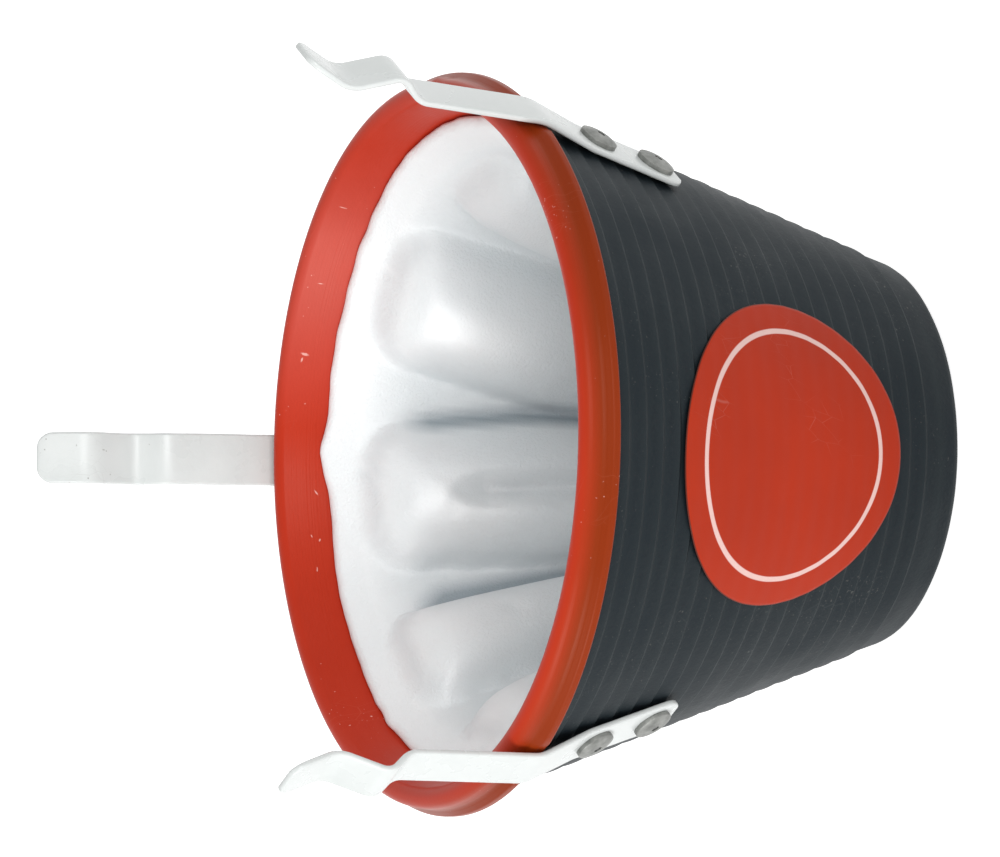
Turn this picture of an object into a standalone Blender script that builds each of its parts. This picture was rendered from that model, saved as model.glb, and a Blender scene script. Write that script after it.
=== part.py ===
"""Trumpet bucket mute, standing on its closed end with its mouth up.

A red bucket with a flared rim sits in a ribbed black sleeve and holds a foam lining with nine
folds. Three spring strips are riveted through both walls and grip the edge of the bell.
The origin is the middle of the closed end, +Z points out of the mouth, and -Y is the label's side.
Sizes are in metres. The strips' directions are angles round +Z, from -Y towards +X.
"""

import math

import bmesh
import bpy
from mathutils import Matrix, Vector

MM = 0.001
GAP = 0.3 * MM
MERGE_DISTANCE = 0.001 * MM

# Sleeve
SLEEVE_HEIGHT = 71.5 * MM
SLEEVE_MOUTH_RADIUS = 54.8 * MM
SLEEVE_BASE_RADIUS = 29.75 * MM
SLEEVE_WALL = 1.5 * MM
SLEEVE_FLOOR = 2.5 * MM
SLEEVE_CORNER = 2.0 * MM
RIB_COUNT = 19
RIB_STEP = 0.4 * MM
RIB_STEP_LENGTH = 0.5 * MM
RIB_MOUTH_MARGIN = 2.9 * MM
RIB_BASE_MARGIN = 7.0 * MM

# Bucket; the rounds of its rim end at angles in degrees from straight outwards
BUCKET_WALL = 1.4 * MM
BUCKET_FLOOR = 1.6 * MM
RIM_OVERHANG = 2.2 * MM
RIM_EDGE_ROUND = 0.5 * MM
RIM_EDGE_END = 15.0
RIM_LIP_HEIGHT = 5.9 * MM
RIM_LIP_RADIUS = 1.8 * MM
RIM_LIP_INSET = 0.75 * MM
RIM_LIP_END = 155.0
RIM_VALLEY_HEIGHT = 2.5 * MM
RIM_VALLEY_INSET = 1.0 * MM

# Lining and the pad under it; a fold's widths are shares of half the space between two crests
PAD_THICKNESS = 5.0 * MM
LINING_DROP = 7.1 * MM
LINING_EDGE = 1.3 * MM
LINING_EDGE_ROUND = 0.5 * MM
LINING_THICKNESS = 3.0 * MM
LINING_FLOOR = 3.0 * MM
FOLD_COUNT = 9
FOLD_HEIGHT = 8.5 * MM
FOLD_MARGIN = 4.2 * MM
FOLD_NOSE = 6.0 * MM
FOLD_NOSE_WIDTH = 0.70
FOLD_DEEP_WIDTH = 0.94
FOLD_SPREAD_DEPTH = 26.0 * MM
FOLD_NOSE_HEIGHT = 0.76
FOLD_SWELL_DEPTH = 13.0 * MM
FOLD_FOOT_RISE = 4.0 * MM
FLOOR_SHARE = 0.8
FOLD_DIRECTION = math.radians(191.5)
# Folds seen in the photo that differ: sideways shift and width, at the nose and deep down, and a late start
FOLD_SHAPES = {
    1: (0.0, -0.20, 1.0, 0.62, 0.0),
    2: (0.0, -0.42, 1.0, 1.0, 0.0),
    7: (-0.20, 0.0, 1.0, 1.0, 2.5 * MM),
    8: (-0.22, 0.0, 1.08, 1.0, 0.0),
}
PLAIN_FOLD = (0.0, 0.0, 1.0, 1.0, 0.0)
POCKET_CLEARANCE = 0.6 * MM
POCKET_FLARE = 0.6 * MM

# Label
LABEL_RADIUS = 23.75 * MM
LABEL_THICKNESS = 0.25 * MM
LABEL_HEIGHT = 35.6 * MM
LABEL_DIRECTION = math.radians(-0.7)

# Spring strips: one nominal shape, and the angle by which each arm is sprung from it
CLIP_DIRECTIONS = {1: math.radians(62.2), 2: math.radians(-57.8), 3: math.radians(183.2)}
CLIP_SPLAYS = {1: math.radians(4.0), 2: math.radians(-4.0), 3: math.radians(3.5)}
CLIP_WIDTH = 8.1 * MM
CLIP_THICKNESS = 1.0 * MM
CLIP_END_ROUND = 1.2 * MM
FOOT_START = 46.6 * MM
FOOT_LIFT = 63.5 * MM
FOOT_BEND = 10.0 * MM
RIM_SEAT_DEPTH = 0.8 * MM
RIM_SEAT_MARGIN = 0.6 * MM
HINGE_RISE = 0.8 * MM
HINGE_BEND = 6.0 * MM
HINGE_CROWN = 0.22 * MM
HINGE_SPLIT = 0.4 * MM
BELL_RADIUS = 61.5 * MM
BELL_GRIP = 0.75 * MM
ARM_STEP_RISE = 22.6 * MM
ARM_STEP_DEPTH = 3.05 * MM
ARM_STEP_BEND = 4.0 * MM
ARM_GROOVE_RISE = 26.1 * MM
ARM_GROOVE_CORNER = 0.55 * MM
ARM_GROOVE_BEND = 2.5 * MM
ARM_DIP_RISE = 34.4 * MM
ARM_DIP_DEPTH = 2.25 * MM
ARM_DIP_BEND = 5.0 * MM
ARM_TIP_RISE = 42.3 * MM
ARM_TIP_LIFT = 1.5 * MM

# Blind rivets
RIVET_END_MARGIN = 4.4 * MM
RIVET_PITCH = 11.3 * MM
RIVET_HEAD_RADIUS = 3.05 * MM
RIVET_HEAD_HEIGHT = 1.0 * MM
RIVET_HEAD_EDGE = 0.35 * MM
RIVET_SHANK_RADIUS = 1.6 * MM
RIVET_BORE_RADIUS = 0.95 * MM
RIVET_BULB_RADIUS = 2.3 * MM
RIVET_BULB_LENGTH = 0.8 * MM
MANDREL_HEAD_RADIUS = 1.3 * MM
MANDREL_HEAD_LENGTH = 0.6 * MM
MANDREL_RECESS = 0.3 * MM
WASHER_RADIUS = 3.0 * MM
WASHER_THICKNESS = 0.5 * MM

# Facets round each kind of piece, and steps along its bends
WALL_SEGMENTS = 60
LABEL_SEGMENTS = 36
LABEL_RINGS = 4
SMALL_SEGMENTS = 14
SLEEVE_CORNER_STEPS = 4
RIM_EDGE_STEPS = 3
RIM_LIP_STEPS = 7
CLIP_BEND_STEPS = 4

# Powers that round a fold's outline, its crown and its sides
OUTLINE_POWER = 3.0
CROWN_POWER = 2.4
SIDE_POWER = 0.62

# Shares of a length or width at which a rounded shape has its rings or rows
NOSE_SHARES = (0.08, 0.2, 0.43, 0.7, 1.0)
FOLD_SHARES = (0.2, 0.45, 0.7, 1.0)
FOLD_ACROSS = (-1.0, -0.9, -0.7, -0.4, 0.0, 0.4, 0.7, 0.9, 1.0)
CLIP_END_SHARES = (0.15, 0.45, 1.0)
RIVET_DOME_SHARES = (0.0, 0.4, 0.75)

# The sleeve's outer wall is a cone, and every other wall lies at a depth square to it
SLOPE = (SLEEVE_MOUTH_RADIUS - SLEEVE_BASE_RADIUS) / SLEEVE_HEIGHT
HALF_ANGLE = math.atan(SLOPE)
BUCKET_OUTSIDE = SLEEVE_WALL + GAP
BUCKET_INSIDE = BUCKET_OUTSIDE + BUCKET_WALL
LINING_OUTSIDE = BUCKET_INSIDE + GAP

# Heights of the stacked floors and of the mouth
BUCKET_BOTTOM = SLEEVE_FLOOR + GAP
PAD_BOTTOM = BUCKET_BOTTOM + BUCKET_FLOOR + GAP
LINING_BOTTOM = PAD_BOTTOM + PAD_THICKNESS + GAP
LINING_FLOOR_TOP = LINING_BOTTOM + LINING_FLOOR
LIP_TOP = SLEEVE_HEIGHT + RIM_LIP_HEIGHT
LINING_TOP = LIP_TOP - LINING_DROP
RIM_RADIUS = SLEEVE_MOUTH_RADIUS + RIM_OVERHANG

# Heights over the sleeve's mean surface along a rivet, outwards
CLIP_UNDERSIDE = RIB_STEP / 2 + GAP
CLIP_MIDDLE = CLIP_UNDERSIDE + CLIP_THICKNESS / 2
RIVET_SEAT = CLIP_UNDERSIDE + CLIP_THICKNESS + GAP
RIVET_TOP = RIVET_SEAT + RIVET_HEAD_HEIGHT
WASHER_TOP = -(BUCKET_INSIDE + GAP)
BULB_TOP = WASHER_TOP - WASHER_THICKNESS - GAP
BULB_END = BULB_TOP - RIVET_BULB_LENGTH
MANDREL_SHOULDER = BULB_END - GAP
MANDREL_END = MANDREL_SHOULDER - MANDREL_HEAD_LENGTH
HOLE_RADIUS = RIVET_SHANK_RADIUS + GAP
SEAT_RADIUS = RIM_RADIUS - RIM_SEAT_DEPTH

# Colour, roughness and metallic value of each material
FINISHES = {
    "red_plastic": ((0.60, 0.055, 0.022), 0.38, 0.0),
    "black_rubber": ((0.028, 0.033, 0.038), 0.55, 0.0),
    "white_foam": ((0.82, 0.82, 0.82), 0.45, 0.0),
    "grey_felt": ((0.45, 0.45, 0.44), 0.95, 0.0),
    "label_print": ((0.62, 0.045, 0.018), 0.35, 0.0),
    "white_coating": ((0.78, 0.80, 0.79), 0.30, 0.0),
    "aluminium": ((0.42, 0.42, 0.40), 0.35, 1.0),
    "steel": ((0.30, 0.30, 0.30), 0.40, 1.0),
}


def clear_scene():
    for old in list(bpy.data.objects):
        bpy.data.objects.remove(old, do_unlink=True)


def material(name):
    found = bpy.data.materials.get(name)
    if found:
        return found
    colour, roughness, metallic = FINISHES[name]
    made = bpy.data.materials.new(name)
    made.use_nodes = True
    shader = made.node_tree.nodes["Principled BSDF"]
    shader.inputs["Base Color"].default_value = (*colour, 1.0)
    shader.inputs["Roughness"].default_value = roughness
    shader.inputs["Metallic"].default_value = metallic
    made.diffuse_color = (*colour, 1.0)
    return made


def add_object(name, bm, finish, matrix=None, parent=None, crease=35.0):
    """Turns a bmesh into a smooth shaded object with one material."""
    bmesh.ops.recalc_face_normals(bm, faces=bm.faces[:])
    mesh = bpy.data.meshes.new(name)
    bm.to_mesh(mesh)
    bm.free()
    mesh.shade_smooth()
    mesh.set_sharp_from_angle(angle=math.radians(crease))
    made = bpy.data.objects.new(name, mesh)
    bpy.context.collection.objects.link(made)
    if finish:
        mesh.materials.append(material(finish))
    if parent:
        made.parent = parent
    if matrix is not None:
        made.matrix_local = matrix
    return made


def make_cutter(name, bm):
    cutter = add_object(name, bm, None)
    cutter.hide_render = True
    cutter.display_type = "WIRE"
    return cutter


def cut(piece, cutter):
    boolean = piece.modifiers.new(cutter.name, "BOOLEAN")
    boolean.operation = "DIFFERENCE"
    boolean.solver = "EXACT"
    boolean.object = cutter


def empty(name, matrix):
    made = bpy.data.objects.new(name, None)
    made.empty_display_size = 5 * MM
    bpy.context.collection.objects.link(made)
    made.matrix_world = matrix
    return made


def cone_radius(z, depth=0.0):
    """Radius at height z of the cone that lies at this depth inside the sleeve's surface."""
    return SLEEVE_BASE_RADIUS + SLOPE * z - depth / math.cos(HALF_ANGLE)


def on_wall(z, height):
    """(radius, z) of the point at this height square over the sleeve's surface at z."""
    radius = cone_radius(z) + height * math.cos(HALF_ANGLE)
    return Vector((radius, z - height * math.sin(HALF_ANGLE)))


def arc(centre, radius, start, end, steps):
    """Points of an arc, with its angles in degrees from the +radius direction towards +Z."""
    points = []
    for i in range(steps + 1):
        angle = math.radians(start + (end - start) * i / steps)
        points.append(Vector((centre[0] + radius * math.cos(angle), centre[1] + radius * math.sin(angle))))
    return points


def turned(profile, segments, closed=False):
    """Spins a profile of (radius, z) points round +Z; points on the axis become poles."""
    made = bmesh.new()
    ring = [made.verts.new((point[0], 0.0, point[1])) for point in profile]
    edges = [made.edges.new(pair) for pair in zip(ring, ring[1:])]
    if closed:
        edges.append(made.edges.new((ring[-1], ring[0])))
    bmesh.ops.spin(made, geom=ring + edges, cent=(0, 0, 0), axis=(0, 0, 1), angle=2 * math.pi,
                   steps=segments, use_merge=True, use_duplicate=False)
    bmesh.ops.remove_doubles(made, verts=made.verts[:], dist=MERGE_DISTANCE)
    return made


def grid_solid(rings):
    """Joins rings of points, from pole to pole, into one closed solid."""
    bm = bmesh.new()
    rows = [[bm.verts.new(point) for point in ring] for ring in rings]
    for upper, lower in zip(rows, rows[1:]):
        count = max(len(upper), len(lower))
        for i in range(count):
            j = (i + 1) % count
            corners = []
            for row, index in ((upper, i), (upper, j), (lower, j), (lower, i)):
                vert = row[index % len(row)]
                if vert not in corners:
                    corners.append(vert)
            bm.faces.new(corners)
    return bm


def outer_sleeve():
    """Ribbed rubber sleeve: each land steps in towards the closed end."""
    corner_centre = (cone_radius(SLEEVE_CORNER, SLEEVE_CORNER), SLEEVE_CORNER)
    profile = [Vector((0.0, 0.0))]
    profile += arc(corner_centre, SLEEVE_CORNER, -90.0, -math.degrees(HALF_ANGLE), SLEEVE_CORNER_STEPS)
    for z in reversed(rib_heights()):
        profile.append(Vector((cone_radius(z) - RIB_STEP / 2, z)))
        crest = z + RIB_STEP_LENGTH
        profile.append(Vector((cone_radius(crest) + RIB_STEP / 2, crest)))
    profile.append(Vector((SLEEVE_MOUTH_RADIUS, SLEEVE_HEIGHT)))
    profile.append(Vector((cone_radius(SLEEVE_HEIGHT, SLEEVE_WALL), SLEEVE_HEIGHT)))
    profile.append(Vector((cone_radius(SLEEVE_FLOOR, SLEEVE_WALL), SLEEVE_FLOOR)))
    profile.append(Vector((0.0, SLEEVE_FLOOR)))
    return add_object("outer_sleeve", turned(profile, WALL_SEGMENTS), "black_rubber", crease=20.0)


def rib_heights():
    """Height of the foot of each rib's step, from the mouth down."""
    pitch = (SLEEVE_HEIGHT - RIB_MOUTH_MARGIN - RIB_BASE_MARGIN) / (RIB_COUNT - 1)
    return [SLEEVE_HEIGHT - RIB_MOUTH_MARGIN - pitch * i for i in range(RIB_COUNT)]


def inner_bucket():
    """Red bucket with its flange over the sleeve's edge and its rolled lip."""
    shoulder = SLEEVE_HEIGHT + GAP
    lip_centre = (SLEEVE_MOUTH_RADIUS - RIM_LIP_INSET, LIP_TOP - RIM_LIP_RADIUS)
    edge_centre = (RIM_RADIUS - RIM_EDGE_ROUND, shoulder + RIM_EDGE_ROUND)
    profile = [Vector((0.0, BUCKET_BOTTOM))]
    profile.append(Vector((cone_radius(BUCKET_BOTTOM, BUCKET_OUTSIDE), BUCKET_BOTTOM)))
    profile.append(Vector((cone_radius(shoulder, BUCKET_OUTSIDE), shoulder)))
    profile += arc(edge_centre, RIM_EDGE_ROUND, -90.0, RIM_EDGE_END, RIM_EDGE_STEPS)
    profile.append(Vector((RIM_RADIUS - RIM_VALLEY_INSET, shoulder + RIM_VALLEY_HEIGHT)))
    profile += arc(lip_centre, RIM_LIP_RADIUS, 0.0, RIM_LIP_END, RIM_LIP_STEPS)
    profile.append(Vector((cone_radius(LINING_TOP, BUCKET_INSIDE), LINING_TOP)))
    floor_top = BUCKET_BOTTOM + BUCKET_FLOOR
    profile.append(Vector((cone_radius(floor_top, BUCKET_INSIDE), floor_top)))
    profile.append(Vector((0.0, floor_top)))
    return add_object("inner_bucket", turned(profile, WALL_SEGMENTS), "red_plastic")


def base_pad():
    """Felt disc that deadens the bucket's floor."""
    top = PAD_BOTTOM + PAD_THICKNESS
    profile = [Vector((0.0, PAD_BOTTOM))]
    profile.append(Vector((cone_radius(PAD_BOTTOM, LINING_OUTSIDE), PAD_BOTTOM)))
    profile.append(Vector((cone_radius(top, LINING_OUTSIDE), top)))
    profile.append(Vector((0.0, top)))
    return add_object("base_pad", turned(profile, WALL_SEGMENTS), "grey_felt")


def fold_reach(fold, z):
    """How far height z lies below the start of a fold."""
    late = FOLD_SHAPES.get(fold % FOLD_COUNT, PLAIN_FOLD)[4]
    return LINING_TOP - FOLD_MARGIN - late - z


def fold_span(fold, z):
    """Middle and half width of a fold at height z, in halves of the space between two crests."""
    nose_shift, deep_shift, nose_width, deep_width, late = FOLD_SHAPES.get(fold % FOLD_COUNT, PLAIN_FOLD)
    deep = min(1.0, max(0.0, fold_reach(fold, z)) / FOLD_SPREAD_DEPTH)
    middle = nose_shift * (1 - deep) + deep_shift * deep
    half = FOLD_NOSE_WIDTH * nose_width * (1 - deep) + FOLD_DEEP_WIDTH * deep_width * deep
    return 2 * fold + middle, half


def fold_angles(z):
    """Directions of the lining's points at height z: across each fold, and the middle of each valley."""
    places = []
    for fold in range(FOLD_COUNT):
        middle, half = fold_span(fold, z)
        following, its_half = fold_span(fold + 1, z)
        places += [middle + share * half for share in FOLD_ACROSS]
        places.append((middle + half + following - its_half) / 2)
    return [FOLD_DIRECTION + math.pi / FOLD_COUNT * place for place in places]


def one_fold(fold, place, z):
    """How far one fold stands out of the lining at height z."""
    reach = fold_reach(fold, z)
    middle, half = fold_span(fold, z)
    ahead = max(0.0, 1 - reach / FOLD_NOSE)
    across = abs(place - middle) / half
    from_crest = (ahead ** OUTLINE_POWER + across ** OUTLINE_POWER) ** (1 / OUTLINE_POWER)
    if reach <= 0.0 or from_crest >= 1.0:
        return 0.0
    crown = (1 - from_crest ** CROWN_POWER) ** SIDE_POWER
    swell = math.sin(math.pi / 2 * min(1.0, reach / FOLD_SWELL_DEPTH))
    taper = cone_radius(z) / cone_radius(LINING_TOP)
    return FOLD_HEIGHT * taper * crown * (FOLD_NOSE_HEIGHT + (1 - FOLD_NOSE_HEIGHT) * swell)


def fold_height(z, angle):
    """How far the folds stand out of the lining at height z and direction angle."""
    place = (angle - FOLD_DIRECTION) * FOLD_COUNT / math.pi
    nearest = round(place / 2)
    return max(one_fold(fold, place, z) for fold in (nearest - 1, nearest, nearest + 1))


def lining_depth(z):
    """Depth of the lining's inner surface between its folds, from its thin edge to its full wall."""
    below = min(1.0, (LINING_TOP - z) / FOLD_MARGIN)
    return LINING_OUTSIDE + LINING_EDGE + (LINING_THICKNESS - LINING_EDGE) * below


def direction(angle, radius, z):
    return Vector((radius * math.sin(angle), -radius * math.cos(angle), z))


def lining():
    """Foam lining: a plain cone outside, nine folds that end in rounded noses inside."""
    start = LINING_TOP - FOLD_MARGIN
    foot = LINING_FLOOR_TOP + FOLD_FOOT_RISE
    heights = [LINING_TOP - LINING_EDGE_ROUND, start]
    heights += [start - FOLD_NOSE * share for share in NOSE_SHARES]
    body_top = heights[-1]
    heights += [body_top + (foot - body_top) * share for share in FOLD_SHARES]

    level = fold_angles(start)
    rings = [[Vector((0.0, 0.0, LINING_BOTTOM))]]
    for z in (LINING_BOTTOM, LINING_TOP - LINING_EDGE_ROUND):
        rings.append([direction(a, cone_radius(z, LINING_OUTSIDE), z) for a in level])
    top_radius = cone_radius(LINING_TOP, LINING_OUTSIDE + LINING_EDGE / 2)
    rings.append([direction(a, top_radius, LINING_TOP) for a in level])
    for z in heights:
        radius = cone_radius(z, lining_depth(z))
        rings.append([direction(a, radius - fold_height(z, a), z) for a in fold_angles(z)])
    foot_radius = cone_radius(foot, lining_depth(foot))
    rings.append([direction(a, (foot_radius - fold_height(foot, a)) * FLOOR_SHARE, LINING_FLOOR_TOP)
                  for a in fold_angles(foot)])
    rings.append([Vector((0.0, 0.0, LINING_FLOOR_TOP))])
    made = add_object("lining", grid_solid(rings), "white_foam", crease=60.0)
    inner_radius = MANDREL_HEAD_RADIUS + POCKET_CLEARANCE
    outer_radius = WASHER_RADIUS + POCKET_CLEARANCE + POCKET_FLARE
    cut(made, rivet_cutter("rivet_pockets", inner_radius, outer_radius, MANDREL_END - GAP,
                           WASHER_TOP + BUCKET_WALL))


def label_point(x, y, height):
    """Wraps a flat point of the label, y up from its middle, over the sleeve's cone."""
    apex = -SLEEVE_BASE_RADIUS / SLOPE
    slant = (LABEL_HEIGHT - apex) / math.cos(HALF_ANGLE)
    along = math.hypot(x, slant + y)
    angle = LABEL_DIRECTION + math.atan2(x, slant + y) / math.sin(HALF_ANGLE)
    radius, z = on_wall(apex + along * math.cos(HALF_ANGLE), height)
    return direction(angle, radius, z)


def label():
    """Round sticker that lies over the ribs' crests."""
    under = RIB_STEP / 2 + GAP
    faces = ((under, range(LABEL_RINGS + 1)), (under + LABEL_THICKNESS, range(LABEL_RINGS, -1, -1)))
    rings = []
    for height, steps in faces:
        for step in steps:
            radius = LABEL_RADIUS * step / LABEL_RINGS
            if step == 0:
                rings.append([label_point(0.0, 0.0, height)])
                continue
            ring = []
            for i in range(LABEL_SEGMENTS):
                angle = 2 * math.pi * i / LABEL_SEGMENTS
                ring.append(label_point(radius * math.cos(angle), radius * math.sin(angle), height))
            rings.append(ring)
    return add_object("label", grid_solid(rings), "label_print", crease=50.0)


def bent_path(corners, bends):
    """Centre line of a bent strip: straight runs between corners, with an arc at each bend."""
    points = [corners[0]]
    middles = []
    for before, corner, after, bend in zip(corners, corners[1:], corners[2:], bends):
        into = (corner - before).normalized()
        out = (after - corner).normalized()
        turn = math.acos(max(-1.0, min(1.0, into.dot(out))))
        inward = (out - into).normalized()
        along = (into + out).normalized()
        centre = corner + inward * (bend / math.cos(turn / 2))
        for i in range(CLIP_BEND_STEPS + 1):
            angle = (i / CLIP_BEND_STEPS - 0.5) * turn
            points.append(centre + bend * (along * math.sin(angle) - inward * math.cos(angle)))
        middles.append(centre - inward * bend)
    points.append(corners[-1])
    return points, middles


def foot_corners():
    """Corners of the strip's centre line from its riveted end to just past the rim."""
    start = on_wall(FOOT_START, CLIP_MIDDLE)
    lift = on_wall(FOOT_LIFT, CLIP_MIDDLE)
    seat = SEAT_RADIUS + GAP + CLIP_THICKNESS / 2
    corner = Vector((seat + HINGE_CROWN, SLEEVE_HEIGHT + HINGE_RISE))
    return start, lift, corner


def arm_corners():
    """Corners of an unsprung arm: the step out, the groove for the bell, the dip and the tip."""
    groove = BELL_RADIUS - BELL_GRIP + CLIP_THICKNESS / 2
    step = Vector((groove - ARM_STEP_DEPTH, SLEEVE_HEIGHT + ARM_STEP_RISE))
    crown = Vector((groove + ARM_GROOVE_CORNER, SLEEVE_HEIGHT + ARM_GROOVE_RISE))
    dip = Vector((groove - ARM_DIP_DEPTH, SLEEVE_HEIGHT + ARM_DIP_RISE))
    tip = Vector((groove + ARM_TIP_LIFT, SLEEVE_HEIGHT + ARM_TIP_RISE))
    return step, crown, dip, tip


def strip_paths():
    """Centre lines of foot and arm, parted at the bend over the rim, and the bend's middle."""
    corners = [*foot_corners(), *arm_corners()]
    bends = (FOOT_BEND, HINGE_BEND, ARM_STEP_BEND, ARM_GROOVE_BEND, ARM_DIP_BEND)
    points, middles = bent_path(corners, bends)
    hinge = middles[1]
    nearest = min(range(len(points)), key=lambda i: (points[i] - hinge).length)
    back = (points[nearest - 1] - hinge).normalized()
    ahead = (points[nearest + 1] - hinge).normalized()
    foot = points[:nearest] + [hinge + back * HINGE_SPLIT / 2]
    arm = [hinge + ahead * HINGE_SPLIT / 2] + points[nearest + 1:]
    return foot, arm, hinge


def strip(path, round_start, round_end):
    """Flat strip along a centre line of (radius, z) points, with rounded corners at its free end."""
    points = [Vector(point) for point in path]
    if round_start:
        points = rounded_end(points)
    if round_end:
        points = rounded_end(points[::-1])[::-1]
    bm = bmesh.new()
    rows = []
    for i, point in enumerate(points):
        ahead = points[min(i + 1, len(points) - 1)] - point
        behind = point - points[max(i - 1, 0)]
        tangent = (ahead.normalized() + behind.normalized()).normalized()
        normal = Vector((tangent.y, -tangent.x)) * CLIP_THICKNESS / 2
        half = CLIP_WIDTH / 2
        if round_start:
            half -= corner_inset((point - points[0]).length)
        if round_end:
            half -= corner_inset((point - points[-1]).length)
        outer, inner = point + normal, point - normal
        corners = ((outer, -half), (outer, half), (inner, half), (inner, -half))
        rows.append([bm.verts.new((side.x, y, side.y)) for side, y in corners])
    for before, after in zip(rows, rows[1:]):
        for i in range(4):
            j = (i + 1) % 4
            bm.faces.new((before[i], before[j], after[j], after[i]))
    bm.faces.new(rows[0][::-1])
    bm.faces.new(rows[-1])
    return bm


def corner_inset(distance):
    """How far a rounded corner draws the strip's edge in, at this distance from the end."""
    if distance >= CLIP_END_ROUND:
        return 0.0
    return CLIP_END_ROUND - math.sqrt(CLIP_END_ROUND ** 2 - (CLIP_END_ROUND - distance) ** 2)


def rounded_end(points):
    """Adds points near the start of a path, where the strip's corners are rounded."""
    run = (points[1] - points[0]).normalized()
    corner = [points[0] + run * CLIP_END_ROUND * share for share in CLIP_END_SHARES]
    return points[:1] + corner + points[1:]


def clip_matrix(angle):
    """Turns a strip's own frame, +X away from the mute's axis, to its place round the mute."""
    return Matrix.Rotation(angle - math.pi / 2, 4, "Z")


def rivet_places():
    """Matrix of each rivet, keyed by strip and rivet number; its +Z points out of the wall."""
    places = {}
    for clip, angle in CLIP_DIRECTIONS.items():
        for number in (1, 2):
            along = RIVET_END_MARGIN + RIVET_PITCH * (number - 1)
            radius, z = on_wall(FOOT_START + along * math.cos(HALF_ANGLE), 0.0)
            tilt = Matrix.Rotation(math.pi / 2 + HALF_ANGLE, 4, "Y")
            shift = Matrix.Translation((radius, 0.0, z))
            places[clip, number] = clip_matrix(angle) @ shift @ tilt
    return places


def rivet_cutter(name, inner_radius, outer_radius, bottom, top):
    """One cutter with a round bar at each rivet, between two heights over the wall."""
    bm = bmesh.new()
    bar = Matrix.Translation((0.0, 0.0, (bottom + top) / 2))
    for place in rivet_places().values():
        bmesh.ops.create_cone(bm, cap_ends=True, segments=SMALL_SEGMENTS, radius1=inner_radius,
                              radius2=outer_radius, depth=top - bottom, matrix=place @ bar)
    return make_cutter(name, bm)


def seat_cutter():
    """Cuts the flat under each strip into the rim's edge."""
    bm = bmesh.new()
    depth = 2 * RIM_SEAT_DEPTH + RIM_OVERHANG
    width = CLIP_WIDTH + 2 * RIM_SEAT_MARGIN
    middle = Vector((SEAT_RADIUS + depth / 2, 0.0, SLEEVE_HEIGHT))
    for angle in CLIP_DIRECTIONS.values():
        size = Matrix.Diagonal((depth, width, 2 * RIM_LIP_HEIGHT, 1.0))
        place = clip_matrix(angle) @ Matrix.Translation(middle) @ size
        bmesh.ops.create_cube(bm, size=1.0, matrix=place)
    return make_cutter("rim_seats", bm)


def clips():
    """Three spring strips, each a riveted foot and an arm that springs at the bend over the rim."""
    foot_path, arm_path, hinge = strip_paths()
    arm_path = [point - hinge for point in arm_path]
    for clip, angle in CLIP_DIRECTIONS.items():
        foot = add_object(f"clip_{clip}_foot", strip(foot_path, True, False), "white_coating",
                          clip_matrix(angle), crease=30.0)
        cut(foot, bpy.data.objects["rivet_holes"])
        pivot_place = clip_matrix(angle) @ Matrix.Translation((hinge.x, 0.0, hinge.y))
        pivot = empty(f"clip_{clip}_pivot", pivot_place @ Matrix.Rotation(CLIP_SPLAYS[clip], 4, "Y"))
        add_object(f"clip_{clip}_arm", strip(arm_path, False, True), "white_coating",
                   Matrix.Identity(4), pivot, crease=30.0)
        print(f"clip_{clip}_arm turns at", [round(x, 6) for x in pivot.matrix_world.translation],
              "about", [round(x, 6) for x in pivot_place.to_3x3() @ Vector((0, 1, 0))])


def rivet_profile():
    """Set blind rivet: domed head outside, shank through the walls, bulb inside, bore for its mandrel."""
    edge = RIVET_SEAT + RIVET_HEAD_EDGE
    rise = RIVET_HEAD_HEIGHT - RIVET_HEAD_EDGE
    profile = [Vector((RIVET_BORE_RADIUS, BULB_END)), Vector((RIVET_BULB_RADIUS, BULB_END))]
    profile.append(Vector((RIVET_BULB_RADIUS, BULB_TOP)))
    profile.append(Vector((RIVET_SHANK_RADIUS, BULB_TOP)))
    profile.append(Vector((RIVET_SHANK_RADIUS, RIVET_SEAT)))
    profile.append(Vector((RIVET_HEAD_RADIUS, RIVET_SEAT)))
    for share in RIVET_DOME_SHARES:
        angle = share * math.pi / 2
        profile.append(Vector((RIVET_HEAD_RADIUS * math.cos(angle), edge + rise * math.sin(angle))))
    profile.append(Vector((RIVET_BORE_RADIUS, RIVET_TOP)))
    return profile


def mandrel_profile():
    """Snapped mandrel: its head bears on the rivet's blind end, its stub is sunk in the bore."""
    stub = RIVET_BORE_RADIUS - GAP
    top = RIVET_TOP - MANDREL_RECESS
    return [Vector(point) for point in (
        (0.0, MANDREL_END), (MANDREL_HEAD_RADIUS, MANDREL_END), (MANDREL_HEAD_RADIUS, MANDREL_SHOULDER),
        (stub, MANDREL_SHOULDER), (stub, top), (0.0, top))]


def washer_profile():
    bottom = WASHER_TOP - WASHER_THICKNESS
    return [Vector(point) for point in (
        (HOLE_RADIUS, bottom), (WASHER_RADIUS, bottom), (WASHER_RADIUS, WASHER_TOP),
        (HOLE_RADIUS, WASHER_TOP))]


def rivets():
    for (clip, number), place in rivet_places().items():
        tag = f"{clip}_{number}"
        add_object(f"rivet_{tag}", turned(rivet_profile(), SMALL_SEGMENTS, True), "aluminium", place,
                   crease=50.0)
        add_object(f"mandrel_{tag}", turned(mandrel_profile(), SMALL_SEGMENTS), "steel", place)
        add_object(f"washer_{tag}", turned(washer_profile(), SMALL_SEGMENTS, True), "steel", place)


def main():
    clear_scene()
    sleeve = outer_sleeve()
    bucket = inner_bucket()
    base_pad()
    lining()
    label()
    holes = rivet_cutter("rivet_holes", HOLE_RADIUS, HOLE_RADIUS, BULB_END, RIVET_TOP)
    cut(sleeve, holes)
    cut(bucket, holes)
    cut(bucket, seat_cutter())
    clips()
    rivets()


main()
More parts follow.
